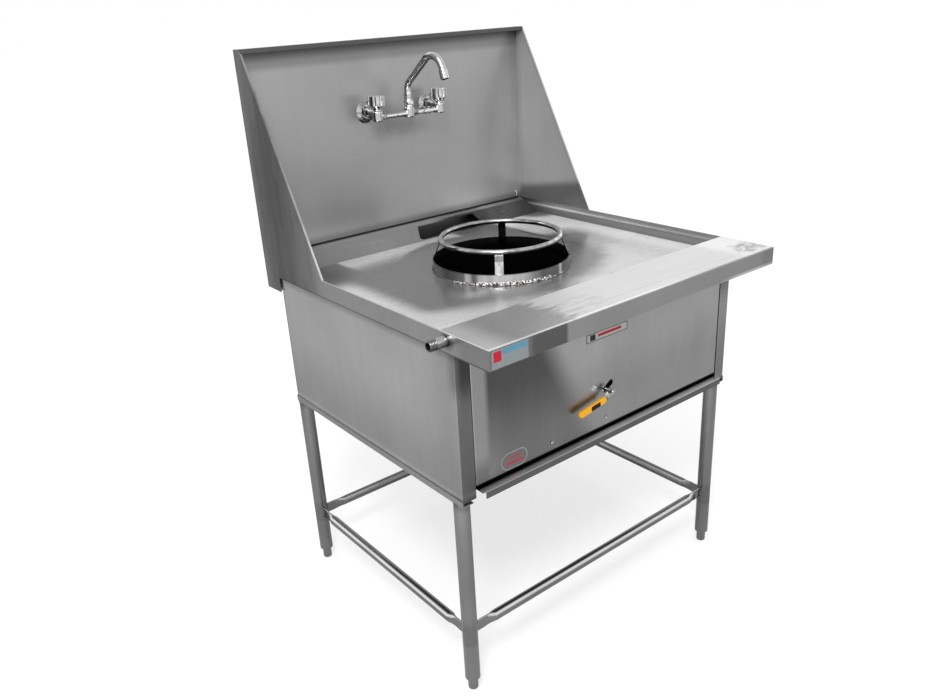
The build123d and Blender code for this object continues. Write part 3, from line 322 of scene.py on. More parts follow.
def make_floor():
    mesh = bpy.data.meshes.new("floor")
    r = FLOOR_REACH
    mesh.from_pydata([(-r, -r, 0), (r, -r, 0), (r, r, 0), (-r, r, 0)], [], [(0, 1, 2, 3)])
    finish = new_finish("floor_paper")
    seen = finish.add("ShaderNodeLightPath", output="Is Camera Ray")
    mirrored = finish.output(seen, "Is Glossy Ray")
    # The pool is painted light: an emission seen only in reflections, standing in for a lamp's pool on the
    # floor.
    painted_pool = finish.spot(POOL_CENTRE, POOL_REACH, soft=1.0)
    finish.surface(
        base_color=finish.mix(seen, grey(PAPER_GREY), grey(PAPER_GREY_SEEN)),
        roughness=0.9,
        specular_ior_level=0.0,
        emission_color=finish.shade(seen * PAPER_GLOW + mirrored * (painted_pool * POOL_GLOW)),
        emission_strength=1.0,
    )
    mesh.materials.append(finish.owner)
    add_object("floor", mesh)


def make_sky():
    world = bpy.data.worlds.new("studio")
    bpy.context.scene.world = world
    sky = Finish(world)
    up = sky.parts("Generated")[2]
    seen = sky.add("ShaderNodeLightPath", output="Is Camera Ray")
    soft = sky.output(seen, "Is Diffuse Ray")
    mirrored = 1.0 - up.rise(CEILING_START, CEILING_FULL) * CEILING_LOSS
    strength = seen + soft * SOFT_LIGHT + (1.0 - seen - soft) * mirrored
    shader = sky.add("ShaderNodeBackground", {}, {"Color": (1, 1, 1, 1), "Strength": strength})
    sky.add("ShaderNodeOutputWorld", {}, {"Surface": shader})


def make_lamps():
    round_lamp = bpy.data.lights.new("front_lamp", "AREA")
    round_lamp.shape = "DISK"
    round_lamp.size = LAMP_SIZE
    round_lamp.energy = LAMP_POWER
    lamp = add_object("front_lamp", round_lamp)
    lamp.location = LAMP_PLACE
    lamp.rotation_euler = (LAMP_AIM - LAMP_PLACE).to_track_quat("-Z", "Y").to_euler()
    sun = bpy.data.lights.new("soft_sun", "SUN")
    sun.angle = SUN_SPREAD
    sun.energy = SUN_STRENGTH
    flat = cos(SUN_HEIGHT)
    towards = Vector((sin(SUN_HEADING) * flat, -cos(SUN_HEADING) * flat, sin(SUN_HEIGHT)))
    add_object("soft_sun", sun).rotation_euler = towards.to_track_quat("Z", "Y").to_euler()


make_floor()
make_sky()
make_lamps()
bpy.context.scene.view_settings.view_transform = "Standard"
print("studio ready")

# %% [markdown]
# ## Satin stainless sheet
# Rolled sheet is a grey mirror with a fine grain. The grain blurs what it reflects, and each panel stands in
# another light, so each has its own tone, which paints that light into its colour. On top lie clouds where
# cloths and hands have been, soft bands along the grain, heat stains, and painted light, shade and
# reflections. One function makes the sheet. What a panel has of its own is written as marks: a function that
# takes the plain shade and returns the marked one.

# %% Steel sheet
GRAIN_WIDTH, GRAIN_LENGTH, GRAIN_DEPTH = 1.2 * MM, 90 * MM, 0.007 * MM
BAND_WIDTH, BAND_LENGTH = 35 * MM, 300 * MM
CLOUD_SIZE = 160 * MM


def along(axis, width, length):
    """Sizes for a pattern that runs along one axis."""
    return [length if name == axis else width for name in "xyz"]


def steel(name, tone, roughness=0.32, grain="z", clouds=0.12, scatter=0.0, marks=None, haze=None):
    """Brushed stainless; tone is about the grey that it shows, scatter the share that it doesn't mirror.
    Marks changes the shade and haze adds to the scatter from place to place."""
    finish = new_finish(name)
    hairs = finish.noise(along(grain, GRAIN_WIDTH, GRAIN_LENGTH), 2.0)
    bands = finish.noise(along(grain, BAND_WIDTH, BAND_LENGTH), 2.0, centre=(3, 1, 7))
    cloud = finish.noise(CLOUD_SIZE, 4.0, centre=(5, 2, 9))
    shade = 1.0 + (cloud - 0.5) * (2.5 * clouds) + (bands - 0.5) * clouds + (hairs - 0.5) * 0.12
    if marks:
        shade = marks(finish, shade)
    mirror = 1.0 - scatter
    if haze:
        mirror = mirror - haze(finish)
    return finish.surface(
        base_color=finish.shade(shade * tone),
        metallic=mirror,
        roughness=roughness + (cloud - 0.5) * 0.14 + (hairs - 0.5) * 0.05,
        normal=finish.bump(hairs, GRAIN_DEPTH),
    )


print("steel sheet ready")

# %% [markdown]
# ## Marks of each panel
# No two panels of the used range look alike. Heat and smoke have stained the floor round the collar, and
# the marks also paint in light and shade: each fold's painted reflection of another part of the room,
# painted shadows under lips and in corners, and painted highlights on folds, edges and tubes. One way would
# be to paint a picture for every panel. Here the marks are written as masks in the range's own frame instead,
# in metres. `dim` takes pairs of a mask and the share of the light that is left where the mask is 1.

# %% How masks join
def dim(shade, *marks):
    """Leaves only a share of the shade where a mask is 1; a share above 1 brightens."""
    for mask, share in marks:
        shade = shade * (1.0 + mask * (share - 1.0))
    return shade


def blend(mask, here, elsewhere):
    """One shade where the mask is 1 and another elsewhere."""
    return here * mask + elsewhere * (1.0 - mask)


def either(*masks):
    """A mask that is 1 where any of the masks is."""
    rest = 1.0
    for mask in masks:
        rest = rest * (1.0 - mask)
    return 1.0 - rest


def on_fronts(finish):
    """1 on the faces that look to the front."""
    return finish.face_y.rise(-0.5, -0.8)


print("masks ready")

# %% [markdown]
# ### The well
# The floor has a painted sheen along its left edge and its front bend, and is grey round the collar, to its
# left and behind it, where heat stain, painted shadow and the painted reflection of the room behind the
# collar lie together. Smoke has fanned out of the ring to the right rear. The ramp is painted with the
# splashback's reflection and its right end is painted near black, and the right upstand is painted darker
# towards the rear and at its top. The straight edges of the marks are folds of the sheet.

# %% Marks of the well
RAMP_RUN = 86 * MM
ramp_foot = wing_high.y - RAMP_RUN
upstand_x = right_x - SHEET


def on_upstand(finish):
    return finish.x.rise(upstand_x - 1.2 * MM, upstand_x - 0.6 * MM)


def floor_stain_and_shade(finish):
    """The grey of the well's floor round the collar, to its left and behind it: heat stain, smoke, painted
    shadow and painted reflection.
    """
    x, y = finish.x, finish.y
    # Round the collar lies heat stain with painted shade, behind it a painted shadow of the collar's wall, to
    # its left a painted reflection of the room, to the right rear a fan of smoke, and in the right rear
    # corner painted shade.
    ring = finish.spot(burner, (0.335, 0.262, 1), 0.24, 0.12, 0.05)
    shadow_behind = finish.spot(burner + Vector((0.03, 0.09, 0)), (0.25, 0.225, 1), 0.10, 0.08, 0.06)
    strip = either(x.rise(left_x + 0.065, left_x + 0.125), y.rise(0.12, 0.22))
    front = (y + x * 0.35).rise(-0.295, -0.215)
    wedge = y.rise(0.21, 0.33) * x.rise(left_x + 0.150, left_x + 0.175)
    left = strip * front * (1.0 - wedge) * x.rise(burner.x + 0.05, burner.x - 0.05)
    fan = x.band(0.11, 0.135, 0.262, 0.287) * y.rise(0.08, 0.14)
    right_corner_shade = finish.spot((upstand_x, ramp_foot, floor_z), (0.105, 0.085, 1), 0.6, 0.2, 0.03)
    return either(ring, shadow_behind, left, fan, right_corner_shade)


def worktop_marks(finish, shade):
    x, y, z = finish.x, finish.y, finish.z
    stain = floor_stain_and_shade(finish)
    # The clean floor is painted with sheen: lightest at the left, lighter again towards the rear and the
    # right.
    clean_sheen = 1.12 - x.rise(left_x + 0.05, left_x + 0.33) * 0.38
    clean_sheen = dim(clean_sheen, (either(y.rise(0.24, 0.32), x.rise(0.34, 0.42)), 1.5))
    stain_and_shade_tone = 0.33 - x.rise(burner.x - 0.05, burner.x + 0.15) * 0.09
    # The glints are a painted highlight and the left corner is painted shade; the soot spot, the wisp and the
    # scorch are smoke stains.
    painted_glints = finish.spot((-0.175, -0.115, floor_z), (0.050, 0.035, 1), 0.9, 0.3, 0.02)
    left_corner_shade = finish.spot((left_x + 0.05, 0.26, floor_z), (0.13, 0.10, 1), 0.7, 0.2, 0.05)
    soot_spot = finish.spot((0.295, 0.105, floor_z), (0.060, 0.045, 1), 0.9, 0.6, 0.03)
    wisp = finish.spot((0.32, 0.04, floor_z), (0.11, 0.15, 1), 0.7, 0.9, 0.06)
    scorch = finish.spot((0.272, 0.19, floor_z), (0.007, 0.085, 1), 0.4, 1.2, 0.02)
    floor = dim(
        blend(stain, stain_and_shade_tone, clean_sheen),
        (painted_glints, 1.8),
        (either(left_corner_shade, soot_spot), 0.45),
        (wisp * (1.0 - stain), 0.62),
        (scorch, 0.15),
    )
    # The ramp is painted with the splashback's reflection, near black at its right end, and with a painted
    # highlight along its top.
    ramp_top_highlight = y.rise(rear_y - 18 * MM, rear_y - 12 * MM)
    ramp = 0.44 - x.rise(0.09, 0.17) * 0.38
    ramp = ramp + ramp_top_highlight * (0.08 + x.band(0.09, 0.17, 0.26, 0.46) * 0.22)
    # The upstand is painted darker towards the rear, where it faces up, and near its top.
    upstand_rear_shade = y.rise(0.05, 0.20) * 0.12 + y.rise(0.24, 0.40) * 0.70
    upstand = dim(1.03 - upstand_rear_shade, (finish.face_z.rise(0.3, 0.7), 0.32), (z.rise(0.876, 0.892), 0.45))
    on_ramp = y.rise(ramp_foot - 0.5 * MM, ramp_foot + 0.5 * MM)
    return shade * blend(on_upstand(finish), upstand, blend(on_ramp, ramp, floor))


def worktop_haze(finish):
    """Where the well mirrors less and scatters more light, so that it shows lighter: at its right and the
    upstand's foot.
    """
    x, y, z = finish.x, finish.y, finish.z
    scatter_right = either(x.rise(0.27, 0.30) * y.rise(0.08, 0.20), x.rise(0.35, 0.44))
    upstand_foot = z.rise(0.888, 0.872) * y.rise(0.32, 0.05)
    return blend(on_upstand(finish), upstand_foot * 0.35, scatter_right * 0.42)


print("the ramp starts at", round(ramp_foot, 4))

# %% [markdown]
# ### The shelf and its apron
# The shelf's top is lit bright, darker at its left up to a soft ragged edge, and mottled white at its right
# end, with a painted highlight along its front fold and its left edge and a painted shadow along a crease.
# The apron is painted with the reflection of the dark room, with one sharp step where the reflection of
# another wall begins, and a painted highlight low at its right.

# %% Marks of the shelf
def shelf_marks(finish, shade):
    x, y, z = finish.x, finish.y, finish.z
    drift = (finish.noise((0.05, 0.018, 0.05), 5.0) - 0.5) * 0.17
    darker_left = (x + drift + (y - front_y) * 0.15).rise(-0.165, -0.215)
    smoke = finish.spot((-0.15, front_y + 0.060, rim_z), (0.12, 0.060, 1), 0.8, 0.5, 0.03)
    torn = finish.spot((-0.21, -0.308, rim_z), (0.034, 0.005, 1), 0.5, 1.2, 0.010)
    notch = finish.spot((0.061, -0.312, rim_z), (0.0025, 0.012, 1), 0.5)
    mottle = finish.spot((0.435, front_y + 0.045, rim_z), (0.065, 0.050, 1), 0.5, 0.9, 0.03)
    left_end = x.rise(left_x + 0.085, left_x + 0.010)
    left_edge_highlight = x.rise(left_x + 4.0 * MM, left_x + 1.5 * MM)
    right_end = x.rise(0.335, 0.385)
    fold_highlight = y.rise(front_y + 9 * MM, front_y + 3 * MM)
    slant = y - front_y + (x + 0.118) * 0.019
    crease_shadow = slant.band(35.9 * MM, 36.6 * MM, 37.7 * MM, 38.4 * MM) * x.rise(-0.125, -0.115)
    # The top is painted lit, lighter than the apron: darker at its left up to a ragged edge, lighter at its
    # two ends, with painted highlights along its left edge and front fold and a painted shadow along the
    # crease; smoke, torn, notch and mottle are darker marks on the steel.
    lit_top = dim(
        0.93,
        (darker_left, 0.52),
        (left_end, 1.85),
        (smoke * finish.streaky((0.05, 0.012, 0.05), 0.40, 0.70), 0.72),
        (either(torn, notch), 0.15),
        (left_edge_highlight, 2.2),
        (right_end, 1.22),
        (mottle * finish.streaky((0.020, 0.014, 1), 0.36, 0.58), 0.52),
        (fold_highlight, 2.4),
        (fold_highlight * x.rise(-0.20, -0.08), 0.60),
        (fold_highlight * x.rise(-0.05, 0.28), 0.42),
        (crease_shadow, 0.75),
    )
    # The apron's tone is a painted reflection of the dark room, with a painted highlight low at its right.
    apron = 0.255 - x.rise(-0.330, -0.312) * 0.105 + x.rise(-0.232, -0.222) * 0.250
    apron = apron - x.rise(0.405, 0.44) * 0.09
    apron = dim(apron, (x.rise(0.25, 0.34) * z.rise(0.867, 0.862), 1.9))
    return shade * blend(on_fronts(finish), apron, lit_top)


print("shelf from", round(left_x, 4), "to", round(right_x, 4))

# %% [markdown]
# ### The collar, the ring and its posts
# The collar is bright bar stock with upright streaks of painted reflection, and black inside with soot and
# painted shade. Round bar mirrors light from above and dark from the sides, so the ring is painted light on
# top and dark on its sides, following the way that its surface faces.

# %% Marks of the collar and the ring
# Each streak is a painted reflection on the collar's wall.
PAINTED_STREAKS = (  # angle round the collar, width, brightness
    (-122, 0.088, 0.64),
    (-158, 0.014, 0.50),
    (-146, 0.020, 0.40),
    (-75, 0.010, 0.62),
)


def collar_marks(finish, shade):
    z = finish.z
    wall = 0.21
    for angle, width, share in PAINTED_STREAKS:
        heading = Vector((cos(radians(angle)), sin(radians(angle)), 0))
        wall = wall + finish.spot(burner + heading * lining_radius, (width, width, 10), 0.8) * share
    wall = wall * (0.6 + finish.noise((0.012, 0.012, 0.4), 3.0) * 0.8)
    wall = dim(wall, (z.rise(drum_high.z - 2.2 * MM, drum_high.z - 1.2 * MM), 0.55))
    # Inside, the soot is painted darker deep in the drum, where the shade falls, and lighter near the rim.
    soot_and_shade = 0.004 + z.rise(drum_high.z - 30 * MM, drum_high.z) * 0.022
    radius = finish.distance(burner, (1, 1, 1000))
    return shade * blend(radius.rise(lining_radius + 1.3 * MM, lining_radius + 0.6 * MM), soot_and_shade, wall)


def ring_marks(finish, shade):
    # The ring is painted light on top and dark on its sides; its post heads and heat patches are darker.
    lit_top = finish.face_z.rise(-0.1, 0.75)
    post_head = finish.z.band(0.914, 0.918, 0.927, 0.931)
    heat = finish.streaky(0.020, 0.40, 0.60)
    return dim(shade * (0.16 + lit_top * 0.84), (post_head, 0.45), (heat, 0.70))


print(len(PAINTED_STREAKS), "streaks on the collar")

# %% [markdown]
# ### Front, sides and splashback
# The front panel is painted with the reflection of two things that meet in a slanting soft edge, is bare
# steel to the left of a sharp one, and has painted shadow under the shelf and along its foot. The sides are
# painted with shadow under the worktop and at the front corner, and lighter low down. The splashback has a
# painted shadow under its lip, under the tap and in the joint at its foot, and painted light towards its
# lower right.

# %% Marks of the front, the sides and the splashback
def front_marks(finish, shade):
    x, z = finish.x, finish.z
    from_left = x - panel_low.x
    # The dark mask is a painted reflection of a dark thing; its tone paints shadow under the shelf, the panel
    # past the edge is painted lighter higher up, and the bottom edge is a painted shadow over the tray.
    past_edge = from_left.rise(0.028, 0.046)
    dark = past_edge * (x + (z - 0.77) * 0.45).rise(-0.105, -0.195)
    soft_left = from_left.rise(0.10, 0.035) * z.rise(0.76, 0.68)
    dark_reflection_tone = dim(0.60 - z.rise(0.58, 0.78) * 0.31, (soft_left, 1.25))
    bright_reflection_tone = dim(1.0, (past_edge, 1.0 + z.rise(0.63, 0.76) * 0.28))
    bare_foot = (1.0 - past_edge) * z.rise(0.62, 0.57)
    bottom_edge_shadow = z.rise(panel_low.z + 4.5 * MM, panel_low.z + 2.5 * MM)
    return shade * dim(blend(dark, dark_reflection_tone, bright_reflection_tone), (bare_foot, 0.60), (bottom_edge_shadow, 0.03))


def side_marks(finish, shade):
    x, y, z = finish.x, finish.y, finish.z
    # All of the side is painted light and shade: lighter high up and towards the rear, painted shadow under
    # the worktop and at the front corner and foot, lighter along the bottom edge, and the front returns
    # painted darker on the left.
    side = (0.80 + z.rise(0.54, 0.76) * 0.36) * (0.84 + y.rise(-0.35, -0.20) * 0.16)
    under_top_shadow = z.rise(0.834, 0.856)
    bottom = z.rise(0.542, 0.534)
    front_top = y.rise(-0.318, -0.352) * z.rise(0.74, 0.80)
    front_foot = y.rise(-0.30, -0.35) * z.rise(0.54, 0.52)
    left_return = 0.47 + z.rise(0.70, 0.83) * (0.15 - x.rise(-0.422, -0.404) * 0.38)
    returns = blend(x.rise(middle_x + 0.1, middle_x - 0.1), left_return, 1.15)
    return shade * dim(
        side,
        (under_top_shadow, 0.62),
        (bottom, 1.25),
        (front_top, 0.62),
        (front_foot, 0.55),
        (on_fronts(finish), returns),
    )


def splash_marks(finish, shade):
    x, y, z = finish.x, finish.y, finish.z
    drop = back_high.z - z
    # The splashback's marks are painted light and shade: shadow under the lip, the tap's shadow, shade at the
    # foot, in the joint and at the right bend, and painted light towards the lower half and the right.
    plain = 0.95 - drop.rise(0.062, 0.040) * 0.32 - drop.rise(0.040, 0.012) * 0.38
    glow = x.band(0.15, 0.30, 0.36, 0.46) * z.rise(1.28, 0.98)
    tap_shadow = finish.spot((0.02, rear_y, 1.178), (0.15, 1, 0.050), 1.0, 0.7, 0.04)
    right_bend = x.rise(wing_low.x - 14 * MM, wing_low.x - 8 * MM) * z.rise(1.1, 1.2)
    painted_right_side = x.rise(0.34, 0.43) * z.rise(1.34, 1.25)
    lower_half = z.rise(1.10, 0.92)
    foot = z.rise(0.928, 0.906)
    joint = z.rise(back_low.z + 2.8 * MM, back_low.z + 1.2 * MM)
    joint = joint * y.rise(back_high.y - 8 * MM, back_high.y - 4 * MM)
    return shade * dim(
        plain,
        (lower_half, 1.27),
        (glow, 1.2),
        (foot, 0.55),
        (tap_shadow, 0.62),
        (right_bend, 0.92),
        (painted_right_side, 1.25),
        (joint, 0.2),
    )


print("splashback up to", round(back_high.z, 4))

# %% [markdown]
# ### The wings
# Each wing is one sheet: an apron along the worktop and a slope up to the splashback. The left one is painted
# darker towards the rear, with a painted shadow round the gas inlet and along its hem, and a painted
# highlight where its cut edge catches the light. The right one is seen from inside, where its foot is painted
# with the reflection of the dark well.

# %% Marks of the wings
def left_wing_marks(finish, shade):
    y, z = finish.y, finish.z
    # The left wing's tone along its length paints in its light and shade; the grime is patchy darkening
    # towards the rear.
    part = 1.30 - y.rise(-0.36, -0.40) * 0.28
    part = part - y.rise(0.13, 0.20) * 0.50 - y.rise(0.20, 0.30) * 0.36
    part = part + y.rise(0.35, 0.39) * 0.14 + y.rise(0.40, 0.43) * 0.15
    hem_shadow = z.rise(shelf_low.z + 3.5 * MM, shelf_low.z + 2.0 * MM) * y.rise(0.37, 0.34)
    inlet_shadow = finish.spot((left_x, inlet_end.y - 4 * MM, inlet_end.z), (1, 0.028, 0.022), 0.7, 0.3, 0.02)
    grime = finish.streaky((0.05, 0.035, 0.12)) * y.rise(0.10, 0.25)
    cut_edge_highlight = finish.face_z.rise(0.15, 0.35)
    return shade * dim(part, (hem_shadow, 0.45), (inlet_shadow, 0.35), (grime, 0.78), (cut_edge_highlight, 3.6))


def right_wing_marks(finish, shade):
    y, z = finish.y, finish.z
    # The right wing is painted with the reflection of the dark well: dark low on its slope, and varying along
    # its apron.
    slope = dim(1.0, ((z + (y - 0.42) * 0.15).rise(0.955, 0.925), 0.36))
    apron = 1.9 - y.rise(-0.05, 0.15) * 0.9 - y.rise(0.13, 0.22) * 0.5 + y.rise(0.31, 0.38) * 0.5
    on_apron = z.rise(rim_z + 1 * MM, rim_z - 1 * MM)
    return shade * dim(blend(on_apron, apron, slope), (y.rise(0.41, 0.43), 0.9))


print("gas inlet at", [round(c, 4) for c in inlet_end])

# %% [markdown]
# ### Legs, braces, gas inlet and tray
# A brace has a painted highlight where it faces the lamp and painted shade past its crown. The legs carry
# heat tint at their welds and painted shade on their right side, the pipe is painted light on top and dark
# below, dark in its thread and with a painted shadow at its joint, and the tray has a painted highlight on
# its top and fold, painted shade on its front and a painted shadow where its rim lies under the front panel.
# Such bands follow the way that a surface faces, so they turn with the tube's own round.

# %% Marks of the stand, the inlet and the tray
def leg_marks(finish, shade):
    z = finish.z
    tint = z.rise(0.485, 0.508) + z.rise(0.018, 0.0)
    brace_height = z.band(0.125, 0.137, 0.186, 0.198)
    patch = finish.noise((0.05, 0.05, 0.12), 4.0)
    # The right side of each leg is painted shade; the tint is heat tint at the welds.
    painted_right_side = finish.face_x.rise(0.50, 0.85)
    return dim(shade, (tint, 0.65), (brace_height, 0.82), (painted_right_side, 0.70)) * (0.8 + patch * 0.4)


def brace_near(finish):
    """The half of a level tube that faces the cook's side."""
    return (finish.face_x + finish.face_y).rise(0.10, -0.15)


def brace_highlight(finish):
    """The painted highlight: the band that faces the lamp, between the crown of the tube and its flank."""
    return finish.face_z.band(0.42, 0.72, 0.80, 0.96) * brace_near(finish)


# The painted highlight band also mirrors less and scatters more, which lightens it further.
def brace_haze(finish):
    return brace_highlight(finish) * 0.6


def brace_marks(finish, shade):
    beyond_crown_shade = (1.0 - brace_near(finish)) * finish.face_z.rise(0.2, 0.4)
    patch = finish.noise(0.12, 4.0)
    return dim(shade, (brace_highlight(finish), 3.4), (beyond_crown_shade, 0.8)) * (0.75 + patch * 0.5)


def pipe_marks(finish, shade):
    from_end = finish.x - inlet_low.x
    # The pipe is painted light on top and dark below, and its joint at the apron has a painted shadow.
    lit_top = finish.face_z.rise(-0.45, 0.55)
    inlet = from_end.rise(50 * MM, 45 * MM)
    thread = from_end.rise(17 * MM, 15 * MM) * inlet
    joint = from_end.rise(37 * MM, 40 * MM) * inlet
    return dim(shade * (0.14 + lit_top * 0.86), (thread, 0.5), (joint, 0.15))


def tray_marks(finish, shade):
    # The top and the fold are painted highlights, the front faces painted shade, and the part behind is a
    # painted shadow under the front panel.
    lit_top = finish.face_z.rise(0.5, 0.9)
    fold_highlight = (finish.y - tray_front).rise(3.0 * MM, 1.2 * MM) * finish.face_z.rise(0.1, 0.4)
    shadow_behind = (finish.y - panel_low.y).band(-6 * MM, -3 * MM, 20 * MM, 60 * MM)
    return dim(shade, (lit_top, 3.6), (fold_highlight, 1.3), (on_fronts(finish), 0.54), (shadow_behind, 0.04))


print("tray front at", round(tray_front, 4))

# %% [markdown]
# ## Other finishes
# Chrome is a clean mirror with only a little haze, and dark stripes of painted reflection. Cast iron is dark
# and grainy, brass is warm, vinyl is soft and bright, and the refractory lining is black with soot and with
# the painted shade deep in the drum. Each is one shader with a noise or two, because the real surfaces
# differ from plain ones only by wear.

# %% Chrome, castings, brass, vinyl and soot
def chrome(name, tone=0.98):
    """Bright plating with painted reflection: dark stripes, the far left and the underside stand in for the
    dark things of the room that it mirrors.
    """
    finish = new_finish(name)
    haze = finish.noise(8 * MM, 4.0)
    wander = (finish.noise(14 * MM, 2.0, centre=(2, 5, 1)) - 0.5) * 0.5
    turn = finish.face_x + wander
    stripe = turn.band(0.04, 0.12, 0.20, 0.30) * (finish.face_z + wander).rise(0.75, 0.45)
    far_left = turn.rise(-0.72, -0.88)
    under = (finish.face_z + wander * 0.5).rise(-0.30, -0.60)
    level = dim(1.0 - haze * 0.10, (either(stripe, far_left, under), 0.26))
    return finish.surface(base_color=finish.shade(level * tone), metallic=1.0, roughness=0.05 + haze * 0.08)


def casting(name, low, high):
    finish = new_finish(name)
    grit = finish.noise(2.5 * MM, 5.0)
    stain = finish.noise(40 * MM, 3.0, centre=(4, 4, 1))
    colour = finish.mix(stain, grey(low, 0.04), grey(high, 0.12))
    normal = finish.bump(grit, 0.3 * MM)
    return finish.surface(base_color=colour, metallic=0.55, roughness=0.55 + grit * 0.2, normal=normal)


def brass(name):
    finish = new_finish(name)
    tarnish = finish.noise(10 * MM, 4.0)
    colour = finish.mix(tarnish, (0.42, 0.27, 0.09, 1), (0.78, 0.56, 0.24, 1))
    return finish.surface(base_color=colour, metallic=1.0, roughness=0.22 + tarnish * 0.15)


def vinyl(name, colour, worn):
    finish = new_finish(name)
    grime = finish.streaky(12 * MM, 0.50, 0.78)
    normal = finish.bump(finish.noise(2 * MM), 0.15 * MM)
    paint = finish.mix(grime * 0.6, colour, worn)
    rough = 0.38 + grime * 0.2
    return finish.surface(base_color=paint, roughness=rough, specular_ior_level=0.25, normal=normal)


# The lining is painted black for its soot and for the shade deep in the drum.
def soot_and_shade(name):
    finish = new_finish(name)
    crust = finish.noise(8 * MM, 5.0)
    colour = finish.mix(crust, grey(0.0004), grey(0.003, 0.08))
    normal = finish.bump(crust, 0.8 * MM)
    return finish.surface(base_color=colour, roughness=0.95, specular_ior_level=0.0, normal=normal)


def brace_steel(grain):
    return steel(f"brace_steel_{grain}", 0.22, 0.16, grain, marks=brace_marks, haze=brace_haze)


YELLOW, WORN_YELLOW = (0.88, 0.42, 0.004, 1), (0.50, 0.20, 0.004, 1)
# Each tone is set to the grey that the piece shows in this studio's light, so it paints in that light.
slot_finish = {
    "sheet": steel("steel_sheet", 0.30),
    "tube": steel("steel_tube", 0.24, 0.24, marks=leg_marks),
    "foot_metal": steel("turned_steel", 0.24, 0.18),
    "ring_metal": steel("bar_steel", 0.80, 0.16, clouds=0.4, marks=ring_marks),
    "drum_steel": steel("collar_steel", 0.9, 0.16, scatter=0.3, marks=collar_marks),
    "refractory": soot_and_shade("sooty_shaded_lining"),
    "cast": casting("cast_iron", 0.02, 0.07),
    "strap": steel("strap_steel", 0.24, 0.4),
    "brass": brass("turned_brass"),
    "pipe": steel("galvanised", 0.85, 0.30, clouds=0.3, marks=pipe_marks),
    "plated": chrome("nickel", 0.6),
    "sleeve": vinyl("yellow_vinyl", YELLOW, WORN_YELLOW),
    "chrome": chrome("tap_chrome"),
}
# The same steel gets another tone on each panel, painted for the light that the panel catches: the worktop,
# the shelf and the splashback lighter, the front and the left wing darker, and the right side panel a shaded
# copy of the left one.
node_finish = {
    "worktop": steel("well_steel", 0.85, 0.26, "x", scatter=0.35, marks=worktop_marks, haze=worktop_haze),
    "front_shelf": steel("shelf_steel", 0.80, 0.30, "x", scatter=0.2, marks=shelf_marks),
    "front_panel": steel("front_steel", 0.34, 0.28, marks=front_marks),
    "splashback": steel("splash_steel", 0.46, 0.34, clouds=0.07, scatter=0.2, marks=splash_marks),
    "wing_left": steel("left_wing_steel", 0.27, 0.34, marks=left_wing_marks),
    "wing_right": steel("right_wing_steel", 0.44, 0.34, scatter=0.6, marks=right_wing_marks),
    "side_panel_left": steel("side_steel", 0.42, 0.36, marks=side_marks),
    "side_panel_right": steel("side_steel_right", 0.30, 0.36, marks=side_marks),
    "drip_tray": steel("tray_steel", 0.26, 0.3, "x", marks=tray_marks),
    "panel_screws": chrome("screw_nickel", 0.5),
    "tap_flanges": chrome("flange_chrome", 0.55),
}
node_finish["brace_front"] = node_finish["brace_rear"] = brace_steel("x")
node_finish["brace_left"] = node_finish["brace_right"] = brace_steel("y")


def finish_of(node):
    return node_finish.get(node, slot_finish[node_slot[node]])


print(len(slot_finish), "finishes by slot and", len(node_finish), "pieces with their own")

# %% [markdown]
# ## Round pieces, smooth again
# The CAD export hands over loose flat triangles, so a tube shows its facets. A copy is merged and shaded
# smooth except at real edges. On folded sheet the small facets of a bend would tilt the shading of the wide
# panel beside it, so the Weighted Normal modifier lets the larger face decide at each corner. The back panel
# and the plain angles under the range look right as they are, so they keep their own mesh.

# %% Smooth copies of the CAD nodes
SHARP_ANGLE = radians(32)
MERGE_DISTANCE = 0.002 * MM
LARGE_FACE_WEIGHT = 100
FLAT_NODES = ("rear_panel", "base_rail_left", "base_rail_right", "base_rail_rear", "tray_runners")


def mesh_of(name, shape):
    """A mesh of a shape, which is freed."""
    mesh = bpy.data.meshes.new(name)
    shape.to_mesh(mesh)
    shape.free()
    return mesh


def shade_round(mesh):
    """Shades smooth, except at real edges."""
    mesh.shade_smooth()
    mesh.set_sharp_from_angle(angle=SHARP_ANGLE)


def dress(mesh, node):
    mesh.materials.clear()
    mesh.materials.append(finish_of(node))


def make_plain(piece):
    """Turns what the modifiers give into the piece's own mesh."""
    graph = bpy.context.evaluated_depsgraph_get()
    mesh = bpy.data.meshes.new_from_object(piece.evaluated_get(graph))
    piece.modifiers.clear()
    mesh.name = piece.name
    piece.data = mesh


def smooth_copy(node):
    source = frame["nodes"][node]
    welded = bmesh.new()
    welded.from_mesh(source.data)
    bmesh.ops.remove_doubles(welded, verts=welded.verts, dist=MERGE_DISTANCE)
    mesh = mesh_of(f"{node}_shape", welded)
    shade_round(mesh)
    dress(mesh, node)
    piece = add_object(f"{node}_shape", mesh)
    weigh = piece.modifiers.new("weigh", "WEIGHTED_NORMAL")
    weigh.keep_sharp = True
    weigh.weight = LARGE_FACE_WEIGHT
    make_plain(piece)
    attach(piece, source["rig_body"])
    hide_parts(node)
    return piece


for node in FLAT_NODES:
    dress(frame["nodes"][node].data, node)
copies = [smooth_copy(node) for node in frame["nodes"] if node not in FLAT_NODES]
print(len(copies), "smooth copies,", sum(len(piece.data.polygons) for piece in copies), "faces")

# %% [markdown]
# ## Weld beads
# The collar, the ring's posts, the legs and the braces are welded, and a hand weld is a row of small frozen
# puddles. Modelling each by hand would take hours. Geometry Nodes can strew them instead: points along a
# path, one low dome on each, turned and sized at random with a fixed seed. One tree serves every weld.

